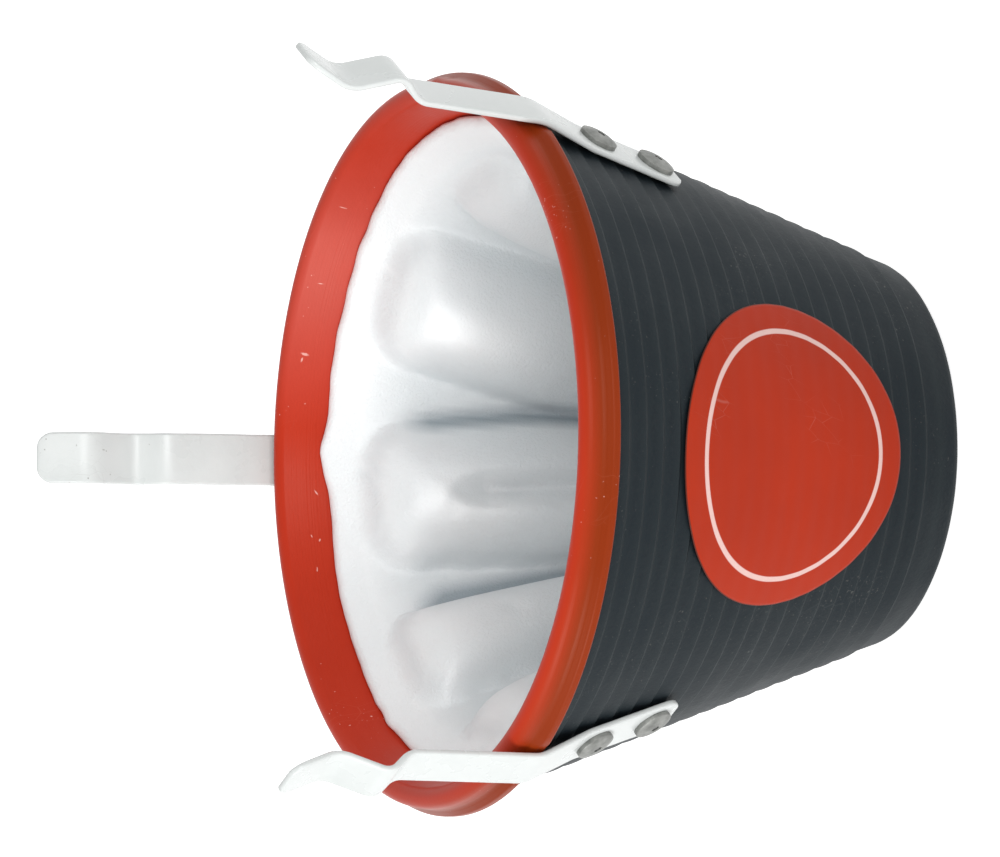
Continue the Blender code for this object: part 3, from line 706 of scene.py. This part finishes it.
def unlike(fold, salt):
    """A steady number from -1 to 1 that differs from fold to fold."""
    return max(-1.0, min(1.0, noise.noise(Vector((fold * 3.7 + 0.31, salt * 5.3 + 0.17, 0.5))) * 2.0))


def clipped(value):
    return max(0.0, min(1.0, value))


def bell(*offsets):
    """1 in the middle, and falling off smoothly as the offsets pass 1."""
    return math.exp(-sum(offset ** 2 for offset in offsets))


def crease_shade(name, aside, half, depth, ahead, from_crest):
    """How much painted shade the sheet gets: in the crease, along the fold's outline, in the valley and the
    hollow.
    """
    darkness, width = CREASES.get(name, PLAIN_CREASE)
    beside = (aside / half + 1.0) / (0.10 if aside / half > -1.0 else width)
    shades = [darkness * bell(beside) * clipped((depth - 4) / 6)]
    shades.append((0.10 + 0.10 * clipped(3 * ahead)) * bell((from_crest - 0.90) / 0.14))
    if from_crest >= 1.0:
        shades.append(0.25 * clipped(depth / 8))
    elif name == HOLLOW_FOLD:
        shades.append(0.42 * bell((aside - 0.02) / 0.24, (depth - 19) / 7))
    return max(shades)


def one_fold(fold, turn, below):
    """How far a fold stands out, its painted crease shade and its crown, which gets sheen and a painted
    highlight, at a point.
    """
    name = fold % FOLD_COUNT
    nose_shift, deep_shift, nose_width, deep_width, late = FOLD_SHAPES.get(name, PLAIN_FOLD)
    reach = below - FOLD_START - late - 0.5 * MM * unlike(name, 1)
    if reach <= 0.0:
        return 0.0, 0.0, 0.0
    deep = clipped(reach / SPREAD_DEPTH)
    aside = 2 * (turn - fold) - nose_shift * (1 - deep) - deep_shift * deep
    half = NOSE_WIDTH * nose_width * (1 - deep) + DEEP_WIDTH * deep_width * deep
    ahead = clipped(1 - reach / NOSE_LENGTH)
    from_crest = (ahead ** FOLD_OUTLINE + (abs(aside) / half) ** FOLD_OUTLINE) ** (1 / FOLD_OUTLINE)
    depth = reach / MM
    crease = crease_shade(name, aside, half, depth, ahead, from_crest)
    if from_crest >= 1.0:
        return 0.0, crease, 0.0
    crown = bell((aside - CROWN_SHIFTS.get(name, 0.0)) / 0.48, (depth - 13) / 8.5)
    rise = (1 - from_crest ** CROWN_POWER) ** SIDE_POWER
    swell = 0.76 + 0.24 * math.sin(math.pi / 2 * clipped(reach / SWELL_DEPTH))
    trough = 0.28 if name == HOLLOW_FOLD else 0.08 * (1 + unlike(name, 4))
    hollow = 1 - trough * bell((aside - 0.02) / 0.22) * clipped((depth - 9) / 7)
    narrowing = cone_radius(LINING_TOP - below) / cone_radius(LINING_TOP)
    height = FOLD_HEIGHT * (1 + 0.05 * unlike(name, 3)) * narrowing * swell * rise * hollow
    return height, crease, crown


def fold_form(angle, below):
    """How far the sheet stands out of its wall at a depth below its edge, its painted crease shade and its
    crown.
    """
    turn = (angle - FOLD_DIRECTION) * FOLD_COUNT / (2 * math.pi)
    folds = [one_fold(round(turn) + side, turn, below) for side in (-1, 0, 1)]
    return [max(values) for values in zip(*folds)]


print("a fold stands out", round(fold_form(FOLD_DIRECTION, 25 * MM)[0] / MM, 2), "mm")

# %% [markdown]
# ## The sheet of the lining
#
# The sheet is drawn in rings: up its outside, over the cut edge, down the folds and across the floor.
# Its edge was cut by hand, so it wanders and is torn in places. Each point stores its painted crease
# shade and its crown, where the finish lays a sheen and a painted highlight.

# %% Rings of the sheet
LINING_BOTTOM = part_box("lining")[0].z
LINING_FLOOR = LINING_BOTTOM + 3.0 * MM
LINING_EDGE = 1.3 * MM
LINING_THICKNESS = 3.0 * MM
FOLD_STEPS = 30
LEVELS = 44
GLUED_DEPTH = BUCKET_INSIDE + 0.05 * MM
FOOT_RISE = 4.0 * MM
# Outside of the sheet: share of its height and depth in the cone
OUTSIDE_RINGS = [(0.0, LINING_OUTSIDE), (0.5, LINING_OUTSIDE), (0.85, LINING_OUTSIDE),
                 (0.94, GLUED_DEPTH), (1.0, GLUED_DEPTH)]
# Floor of the sheet: share of the foot's radius and of the way down
FLOOR_RINGS = [(0.86, 0.72), (0.66, 0.95), (0.4, 1.0), (0.15, 1.0)]
# Bulges and tears of the cut edge: direction and half width in degrees, height in mm
EDGE_TEARS = [(182.6, 5.0, 0.85), (181.6, 1.6, 0.25), (173.0, 4.0, -0.2), (195.0, 4.0, -0.25),
              (240.0, 1.6, 0.35), (89.3, 1.8, -0.3)]


def edge_wander(angle):
    """How far the cut edge of the sheet strays from its level."""
    slow = noise.noise(Vector((math.cos(angle), math.sin(angle), 0.3)) * 3.0)
    fine = noise.noise(Vector((math.cos(angle), math.sin(angle), 0.7)) * 16.0)
    torn = 0.0
    for direction, width, height in EDGE_TEARS:
        off = (math.degrees(angle) - direction + 180) % 360 - 180
        torn += height * bell(off / width)
    return (0.30 * slow + 0.22 * fine + torn) * MM


def lining_rings():
    count = FOLD_COUNT * FOLD_STEPS
    angles = [FOLD_DIRECTION - math.pi + 2 * math.pi * i / count for i in range(count)]
    tops = [LINING_TOP - 0.45 * MM + edge_wander(a) for a in angles]
    rings = [[Vector((0.0, 0.0, LINING_BOTTOM))]]
    for share, depth in OUTSIDE_RINGS:
        heights = [LINING_BOTTOM + (top - LINING_BOTTOM) * share for top in tops]
        rings.append([round_axis(a, cone_radius(z, depth), z) for a, z in zip(angles, heights)])
    rings.append([round_axis(a, cone_radius(top, GLUED_DEPTH + 0.4 * LINING_EDGE), top + 0.35 * MM)
                  for a, top in zip(angles, tops)])
    foot = LINING_FLOOR + FOOT_RISE
    for level in range(LEVELS + 1):
        ring = []
        for a, top in zip(angles, tops):
            z = top + (foot - top) * (level / LEVELS) ** 1.25
            below = LINING_TOP - z
            thickness = LINING_EDGE + (LINING_THICKNESS - LINING_EDGE) * min(1.0, below / FOLD_START)
            radius = cone_radius(z, LINING_OUTSIDE + thickness) - fold_form(a, below)[0]
            ring.append(round_axis(a, radius, z))
        rings.append(ring)
    for share, drop in FLOOR_RINGS:
        z = foot - FOOT_RISE * drop
        rings.append([Vector((p.x * share, p.y * share, z)) for p in ring])
    rings.append([Vector((0.0, 0.0, LINING_FLOOR))])
    return rings


def form_at(place):
    """The fold's form at a place of the sheet's inner skin; its outside has none."""
    x, y, z = place
    if math.hypot(x, y) < cone_radius(z, LINING_OUTSIDE + LINING_EDGE / 2):
        return fold_form(math.atan2(x, -y), LINING_TOP - z)
    return 0.0, 0.0, 0.0


def mark_folds(piece):
    """Stores each point's painted crease shade and its crown, for the sheen and painted highlight of its
    finish.
    """
    creases = piece.data.attributes.new("crease", "FLOAT", "POINT")
    crowns = piece.data.attributes.new("crown", "FLOAT", "POINT")
    for index, point in enumerate(piece.data.vertices):
        _, creases.data[index].value, crowns.data[index].value = form_at(point.co)


print("the sheet has", FOLD_COUNT * FOLD_STEPS, "points round the mouth")

# %% [markdown]
# ## Puffing the folds out
#
# Springy foam rounds its folds out. Cloth simulation with a little air behind the sheet does the same,
# with the glued edge, the floor and the valleys held, and with a limit on how far a point may move.

# %% Build the lining
PUFF_PRESSURE = 10.0
PUFF_FRAMES = 16
PUFF_LIMIT = 1.0 * MM
HELD_FLOOR = LINING_FLOOR + 6 * MM


def puff_folds(piece):
    """Holds the sheet where it doesn't stand out, runs the simulation and applies its limited moves."""
    drawn = [point.co.copy() for point in piece.data.vertices]
    held = piece.vertex_groups.new(name="held")
    for index, place in enumerate(drawn):
        height = form_at(place)[0] if place.z > HELD_FLOOR else 0.0
        held.add([index], 1.0 - clipped((height - 1.0 * MM) / (3.0 * MM)), "REPLACE")
    cloth = piece.modifiers.new("springy_sheet", "CLOTH")
    cloth.settings.vertex_group_mass = "held"
    cloth.settings.use_pressure = True
    cloth.settings.uniform_pressure_force = PUFF_PRESSURE
    cloth.settings.effector_weights.gravity = 0.0
    cloth.point_cache.frame_end = PUFF_FRAMES
    for frame_number in range(1, PUFF_FRAMES + 1):
        bpy.context.scene.frame_set(frame_number)
    puffed = piece.evaluated_get(bpy.context.evaluated_depsgraph_get()).to_mesh()
    moves = [after.co - before for after, before in zip(puffed.vertices, drawn)]
    piece.modifiers.remove(cloth)
    bpy.context.scene.frame_set(1)
    for point, before, move in zip(piece.data.vertices, drawn, moves):
        point.co = before + move * min(1.0, PUFF_LIMIT / max(move.length, SHARP))
    print("the folds moved up to", round(max(move.length for move in moves) / MM, 2), "mm")


piece = add_piece("foam_lining", skin(lining_rings()), FOAM, crease=70.0)
mark_folds(piece)
puff_folds(piece)
smooth = piece.modifiers.new("smooth_skin", "SUBSURF")
smooth.levels = 1
smooth.render_levels = 1
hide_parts("lining")

# %% [markdown]
# ## Print of the label
#
# The sticker is satin red with a printed ring, and its cut edge is painted dark as a painted shade. Both
# are drawn by the distance from the middle in the flat label's own map, so they wrap with it. The middle is
# left plain.

# %% Finish of the label
LABEL_RADIUS = 23.75 * MM
PRINT_RADIUS = 19.15 * MM
PRINT_LINE = 0.84 * MM
EDGE_SHADE = (0.4945, 0.4985)

PRINTED, tree, shader, _, scuffs, body = start_finish(
    "printed_label", (1600.0, 50.0), (1800.0, 0.76, 60.0),
    ((0.38, 0.025, 0.005), (0.43, 0.030, 0.007)), (0.30, 0.40), 0.01 * MM, Specular_IOR_Level=0.12)
flat = node(tree, "UVMap", uv_map="flat"), "UV"
out = length(tree, maths(tree, "SUBTRACT", flat, (0.5, 0.5, 0.0), kind="VectorMath", output="Vector"))
away = maths(tree, "ABSOLUTE", maths(tree, "SUBTRACT", out, PRINT_RADIUS / LABEL_RADIUS / 2))
half_line = PRINT_LINE / LABEL_RADIUS / 4
ring = (away, half_line * 1.15, half_line * 0.8, (0.76, 0.52, 0.48))
# The dark rim of the label is a painted shade along its edge.
edge = (out, *EDGE_SHADE, (0.10, 0.02, 0.012))
scratches = ((scuffs, "Scratches"), 0.0, 4.0, (0.75, 0.45, 0.40))
layered(tree, shader, body, ring, edge, scratches)

# %% [markdown]
# ## The round label
#
# The label lies on the crests of the ribs and sinks a hair between them. Flat rings of points are
# wrapped round the cone, and the flat place of each point is kept as a UV map for the print.

# %% Build the label
LABEL_THICKNESS = 0.25 * MM
LABEL_LIFT = 0.06 * MM
LABEL_ROUND = 0.08 * MM
LABEL_SAG = 0.05 * MM
LABEL_HEIGHT = 35.6 * MM
LABEL_DIRECTION = math.radians(-0.7)
LABEL_SEGMENTS = 144
LABEL_RINGS = 40


def on_label(x, y, height):
    """Wraps a flat point of the label, y up from its middle, over the sleeve's cone."""
    apex = -BASE_RADIUS / SLOPE
    slant = (LABEL_HEIGHT - apex) / math.cos(HALF_ANGLE)
    along = math.hypot(x, slant + y)
    angle = LABEL_DIRECTION + math.atan2(x, slant + y) / math.sin(HALF_ANGLE)
    z = apex + along * math.cos(HALF_ANGLE)
    phase = 2 * math.pi * (z - RIB_BASE_MARGIN - RIB_STEP_LENGTH) / RIB_PITCH
    lift = height - LABEL_SAG * (1 - math.cos(phase)) / 2
    return round_axis(angle, cone_radius(z) + lift * math.cos(HALF_ANGLE), z - lift * math.sin(HALF_ANGLE))


under = RIB_STEP / 2 + LABEL_LIFT
over = under + LABEL_THICKNESS
inner = LABEL_RADIUS - LABEL_ROUND
radii = [LABEL_RADIUS * i / LABEL_RINGS for i in range(LABEL_RINGS)]
steps = [(under, radius) for radius in radii]
steps += [(under, inner), (under + LABEL_ROUND, LABEL_RADIUS)]
steps += [(over - LABEL_ROUND, LABEL_RADIUS), (over, inner)]
steps += [(over, radius) for radius in reversed(radii)]
turns = [2 * math.pi * i / LABEL_SEGMENTS for i in range(LABEL_SEGMENTS)]
rings, flats = [], []
for height, radius in steps:
    spots = [(radius * math.cos(a), radius * math.sin(a)) for a in (turns if radius > 0 else turns[:1])]
    rings.append([on_label(x, y, height) for x, y in spots])
    flats += spots
piece = add_piece("round_label", skin(rings), PRINTED, crease=60.0)
layer = piece.data.uv_layers.new(name="flat")
for loop in piece.data.loops:
    x, y = flats[loop.vertex_index]
    layer.data[loop.index].uv = (0.5 + x / LABEL_RADIUS / 2, 0.5 + y / LABEL_RADIUS / 2)
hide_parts("label")

# %% [markdown]
# ## The line of a strip
#
# Each clip is one strip of coated steel: riveted to the sleeve, bent over the rim, then a step, a groove
# for the bell's edge and a flared tip. Its centre line is a list of corners with a radius each, and it
# springs in the middle of the bend over the rim.

# %% Centre line of a strip
CLIP_THICKNESS = 1.0 * MM
CLIP_SPLAYS = {1: math.radians(4.0), 2: math.radians(-4.0), 3: math.radians(3.5)}
CLIP_UNDERSIDE = RIB_STEP / 2 + GAP
FOOT_START = 46.6 * MM
FOOT_LIFT = 63.5 * MM
FOOT_BEND = 10.0 * MM
HINGE_RISE = 0.8 * MM
HINGE_CROWN = 0.22 * MM
HINGE_BEND = 6.0 * MM
BELL_RADIUS = 61.5 * MM
BELL_GRIP = 0.75 * MM
# Step, crown, dip and tip of the arm, in mm: distance from the groove, height over the mouth, bend
ARM_CORNERS = [(-3.05, 22.6, 4.0), (0.55, 26.1, 2.5), (-2.25, 34.4, 5.0), (1.5, 42.3, 0.0)]


def on_wall(z, height):
    """(radius, z) at this height square over the sleeve's mean surface."""
    return Vector((cone_radius(z) + height * math.cos(HALF_ANGLE), z - height * math.sin(HALF_ANGLE)))


def spaced(points, gap):
    """Adds points on long straight stretches, so that no step is longer than the gap."""
    filled = [points[0]]
    for before, after in zip(points, points[1:]):
        count = max(1, math.ceil((after - before).length / gap))
        filled += [before.lerp(after, i / count) for i in range(1, count + 1)]
    return filled


half = CLIP_THICKNESS / 2
groove = BELL_RADIUS - BELL_GRIP + half
STRIP_CORNERS = [on_wall(z, CLIP_UNDERSIDE + half) for z in (FOOT_START, FOOT_LIFT)]
STRIP_CORNERS += outline((SEAT_RADIUS + GAP + half + HINGE_CROWN, MOUTH_HEIGHT + HINGE_RISE))
STRIP_CORNERS += outline(*[(groove + out * MM, MOUTH_HEIGHT + up * MM) for out, up, bend in ARM_CORNERS])
STRIP_RADII = [0.0, FOOT_BEND, HINGE_BEND] + [bend * MM for out, up, bend in ARM_CORNERS[:-1]]
before, corner, after = STRIP_CORNERS[1:4]
into = (corner - before).normalized()
onward = (after - corner).normalized()
turn = math.acos(into.dot(onward))
HINGE = corner + (onward - into).normalized() * HINGE_BEND * (1 / math.cos(turn / 2) - 1)
print("the arm springs at radius", round(HINGE.x / MM, 2), "mm and height", round(HINGE.y / MM, 2), "mm")

# %% [markdown]
# ## The spring strips
#
# The frame parts each strip at its bend, because it springs there. Here it is one piece again, which
# rides on no body. The coating's soft edge is a rounded section carried along the line, which lumps gently
# and draws in at the rounded ends.

# %% Build the strips
COAT_ROUND = 0.42 * MM
COAT_LUMP = 0.05 * MM
LUMP_SPREAD = 3.5 * MM
END_ROUND = 2.6 * MM
END_SHARES = (0.01, 0.04, 0.1, 0.18)
SECTION_STEPS = 5
STRIP_STEP = 0.7 * MM


def section(half_width, half_depth):
    """Rounded rectangle round a strip's centre line, as (across, out) pairs."""
    corner = min(COAT_ROUND, half_width * 0.9, half_depth * 0.9)
    points = []
    for quarter, (sx, sy) in enumerate(((1, 1), (-1, 1), (-1, -1), (1, -1))):
        for i in range(SECTION_STEPS + 1):
            angle = math.pi / 2 * (quarter + i / SECTION_STEPS)
            points.append((sx * (half_width - corner) + corner * math.cos(angle),
                           sy * (half_depth - corner) + corner * math.sin(angle)))
    return points


def end_inset(distance, radius):
    """How far a rounded end draws the strip in at this distance from its tip."""
    if distance >= radius:
        return 0.0
    return radius - math.sqrt(max(0.0, radius ** 2 - (radius - distance) ** 2))


def with_end_points(points):
    """Adds close points near the start of a line, where its rounded end needs them."""
    run = (points[1] - points[0]).normalized()
    return points[:1] + [points[0] + run * END_ROUND * share for share in END_SHARES] + points[1:]


def strip_turn(clip):
    return Matrix.Rotation(CLIP_DIRECTIONS[clip] - math.pi / 2, 4, "Z")


def strip_rings(clip):
    points = with_end_points(spaced(filleted(STRIP_CORNERS, STRIP_RADII, 8), STRIP_STEP))
    points = with_end_points(points[::-1])[::-1]
    splay = Matrix.Rotation(-CLIP_SPLAYS[clip], 2)
    placed = [HINGE + splay @ (p - HINGE) if p.y > HINGE.y else p for p in points]
    rings = []
    for i, point in enumerate(placed):
        ahead = placed[min(i + 1, len(placed) - 1)] - point
        behind = point - placed[max(i - 1, 0)]
        tangent = (ahead.normalized() + behind.normalized()).normalized()
        normal = Vector((tangent.y, -tangent.x))
        away = min((point - placed[0]).length, (point - placed[-1]).length)
        half_width = CLIP_WIDTH / 2 - end_inset(away, END_ROUND)
        half_depth = CLIP_THICKNESS / 2 - end_inset(away, COAT_ROUND)
        lump = noise.noise(Vector((point.x, point.y, clip * 9 * MM)) / LUMP_SPREAD) * COAT_LUMP
        sides = [(point + normal * out, across) for across, out in section(half_width + lump, half_depth)]
        rings.append([strip_turn(clip) @ Vector((side.x, across, side.y)) for side, across in sides])
    return rings


def spring_strip(clip):
    mesh = skin(strip_rings(clip))
    piece = add_piece(f"spring_strip_{clip}", mesh, COATING, body=None, crease=60.0)
    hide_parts(f"clip_{clip}_foot", f"clip_{clip}_arm")
    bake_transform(piece)


for clip in CLIP_DIRECTIONS:
    spring_strip(clip)

# %% [markdown]
# ## The blind rivets
#
# A blind rivet is a flat-domed head, a shank and a bulb squeezed out behind the walls. Pulling it breaks
# the pin inside, whose stub shows as a dark dot. All of it is turned round the rivet's own axis.

# %% Build the rivets
RIVET_END_MARGIN = 4.4 * MM
RIVET_PITCH = 11.3 * MM
RIVET_SEAT = CLIP_UNDERSIDE + CLIP_THICKNESS
RIVET_TOP = RIVET_SEAT + GAP + 1.0 * MM
DOME_RADIUS = 9.0 * MM
HEAD_RADIUS = 3.05 * MM
SHANK_RADIUS = 1.6 * MM
BORE_RADIUS = 0.62 * MM
BULB_RADIUS = 2.3 * MM
BULB_TOP = -(BUCKET_INSIDE + GAP + 0.5 * MM + GAP)
BULB_END = BULB_TOP - 0.8 * MM
PIN_TOP = RIVET_TOP - 0.22 * MM
PIN_HEAD_RADIUS = 1.3 * MM
PIN_END = BULB_END - 0.9 * MM
PIN_SHOULDER = BULB_END - GAP
RIVET_SEGMENTS = 48
PIN_SEGMENTS = 24


def rivet_place(clip, number):
    """Matrix of a rivet on the wall, with its +Z pointing out of it."""
    z = FOOT_START + (RIVET_END_MARGIN + RIVET_PITCH * (number - 1)) * math.cos(HALF_ANGLE)
    tilt = Matrix.Rotation(math.pi / 2 + HALF_ANGLE, 4, "Y")
    return strip_turn(clip) @ Matrix.Translation((cone_radius(z), 0.0, z)) @ tilt


def add_turned(name, profile, segments, place, finish, closed=False):
    """Adds a piece that is turned round the axis of a rivet."""
    rings = [[place @ point for point in ring] for ring in turned_rings(profile, segments)]
    return add_piece(name, skin(rings, closed), finish, crease=45.0)


def blind_rivet(clip, number):
    dome = arc(Vector((0.0, RIVET_TOP - DOME_RADIUS)), DOME_RADIUS, 71.5, 84.5, 8)
    corners = outline(
        (BORE_RADIUS, BULB_END), (BULB_RADIUS, BULB_END), (BULB_RADIUS, BULB_TOP), (SHANK_RADIUS, BULB_TOP),
        (SHANK_RADIUS, RIVET_SEAT), (HEAD_RADIUS, RIVET_SEAT), (HEAD_RADIUS, dome[0].y - 0.1 * MM), dome[1])
    profile = filleted(corners, [0, 0.2 * MM, 0.2 * MM, 0, 0, 0.1 * MM, 0.12 * MM, 0], 3) + dome[2:]
    profile.append(Vector((BORE_RADIUS, dome[-1].y - 0.02 * MM)))
    piece = add_turned(f"blind_rivet_{clip}_{number}", profile, RIVET_SEGMENTS, rivet_place(clip, number),
                       RIVET_METAL, closed=True)
    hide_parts(f"rivet_{clip}_{number}")


def snapped_pin(clip, number):
    stub = BORE_RADIUS - 0.02 * MM
    corners = outline((0.0, PIN_END), (PIN_HEAD_RADIUS, PIN_END), (PIN_HEAD_RADIUS, PIN_SHOULDER),
                      (stub, PIN_SHOULDER), (stub, PIN_TOP), (0.0, PIN_TOP + 0.08 * MM))
    profile = filleted(corners, [0, 0.3 * MM, 0.1 * MM, 0, 0.1 * MM], 3)
    piece = add_turned(f"snapped_pin_{clip}_{number}", profile, PIN_SEGMENTS, rivet_place(clip, number),
                       STEEL)
    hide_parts(f"mandrel_{clip}_{number}")


for clip in CLIP_DIRECTIONS:
    for number in (1, 2):
        blind_rivet(clip, number)
        snapped_pin(clip, number)

# %% [markdown]
# ## Backing washers
#
# Six plain washers back the rivets inside the bucket's wall. Their solids have the right shape
# already, so they keep it and get the steel finish.

# %% Finish the washers
for name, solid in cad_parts.items():
    if name.startswith("washer"):
        solid.data.materials.clear()
        solid.data.materials.append(STEEL)
        print(name, "is finished in steel")

# %% [markdown]
# ## Floor and world
#
# A dark object on white needs two things that pull apart: a white that the camera and the gloss see, and
# light that is no brighter than the colours need. Light Path keeps them apart. The floor stays a little
# darker where the mute shades it.

# %% Floor and world
AMBIENT = 0.58
FLOOR_GLOW = 0.76
FLOOR_PAINT = (0.8, 0.8, 0.8, 1.0)
FLOOR_SIZE = 12.0
WHITE = (1.0, 1.0, 1.0, 1.0)


def seen_mask(tree):
    """1 for rays from the camera, a reflection or a transparent piece."""
    path = node(tree, "LightPath")
    seen = maths(tree, "MAXIMUM", (path, "Is Camera Ray"), (path, "Is Glossy Ray"))
    return maths(tree, "MAXIMUM", seen, (path, "Is Transmission Ray"))


world = bpy.data.worlds.new("studio_white")
bpy.context.scene.world = world
world.use_nodes = True
tree = world.node_tree
tree.nodes.clear()
strength = ramp(tree, seen_mask(tree), 0.0, 1.0, AMBIENT, 1.0)
sky = node(tree, "Background", Color=WHITE, Strength=strength)
node(tree, "OutputWorld", Surface=(sky, "Background"))

finish = bpy.data.materials.new("pale_floor")
finish.use_nodes = True
tree = finish.node_tree
tree.nodes.clear()
paint = node(tree, "BsdfDiffuse", Color=FLOOR_PAINT)
lift = maths(tree, "MULTIPLY", seen_mask(tree), FLOOR_GLOW)
glow = node(tree, "Emission", Color=WHITE, Strength=lift)
both = node(tree, "AddShader")
feed(tree, (paint, "BSDF"), both.inputs[0])
feed(tree, (glow, "Emission"), both.inputs[1])
node(tree, "OutputMaterial", Surface=(both, "Shader"))
bpy.ops.mesh.primitive_plane_add(size=FLOOR_SIZE, location=(0.0, 0.0, 0.0))
floor = bpy.context.object
floor.name = "studio_floor"
floor.data.materials.append(finish)
print("the world's plain light is", AMBIENT)

# %% [markdown]
# ## Lamps
#
# Soft boxes shape what the plain light leaves flat. One at the side gives each fold a bright and a
# shaded flank, a weaker one fills the front, and a faint one opens the shadows on the far side.

# %% Lamps
MUTE_MIDDLE = Vector((0.0, 0.0, 0.06))
# Place in metres, size in metres and power in watts
SOFT_BOXES = {
    "side_box": ((-1.24, -0.66, 0.46), 0.60, 12.5),
    "front_box": ((0.36, -1.26, 0.55), 0.60, 7.0),
    "far_box": ((1.30, -0.64, 0.30), 0.50, 0.5),
}

for name, (place, size, power) in SOFT_BOXES.items():
    lamp = bpy.data.lights.new(name, "AREA")
    lamp.size = size
    lamp.energy = power
    holder = new_object(name, lamp)
    holder.location = place
    holder.rotation_euler = (Vector(place) - MUTE_MIDDLE).to_track_quat("Z", "Y").to_euler()
    print(name, "gives", power, "W")

# %% [markdown]
# ## Camera
#
# The picture was taken from above and lies on its side: its left is the mute's up. A long lens from far
# away keeps the rings nearly true ellipses.

# %% Camera, lying on its side as in the picture
CAMERA_ELEVATION = math.radians(25.9)
CAMERA_ROLL = math.radians(1.31)
CAMERA_DISTANCE = 1600 * MM
CAMERA_LENS = 375.6
CAMERA_SENSOR = 36.0
CLIP_RANGE = (0.1, 30.0)
AIM = Vector((0.0, 0.0, 67.0 * MM))
PAN = (2.52 * MM, 2.56 * MM)

back = Vector((0.0, -math.cos(CAMERA_ELEVATION), math.sin(CAMERA_ELEVATION)))
down = -Vector((0.0, math.sin(CAMERA_ELEVATION), math.cos(CAMERA_ELEVATION)))
side = Vector((1.0, 0.0, 0.0))
right = math.cos(CAMERA_ROLL) * down + math.sin(CAMERA_ROLL) * side
up = -math.sin(CAMERA_ROLL) * down + math.cos(CAMERA_ROLL) * side
data = bpy.data.cameras.new("studio_camera")
data.lens = CAMERA_LENS
data.sensor_width = CAMERA_SENSOR
data.clip_start, data.clip_end = CLIP_RANGE
camera = new_object("studio_camera", data)
place = AIM + back * CAMERA_DISTANCE + right * PAN[0] + up * PAN[1]
camera.matrix_world = Matrix.Translation(place) @ Matrix((right, up, back)).transposed().to_4x4()
bpy.context.scene.camera = camera
bpy.context.scene.view_settings.view_transform = "Standard"
print("the camera stands", CAMERA_DISTANCE, "m away")
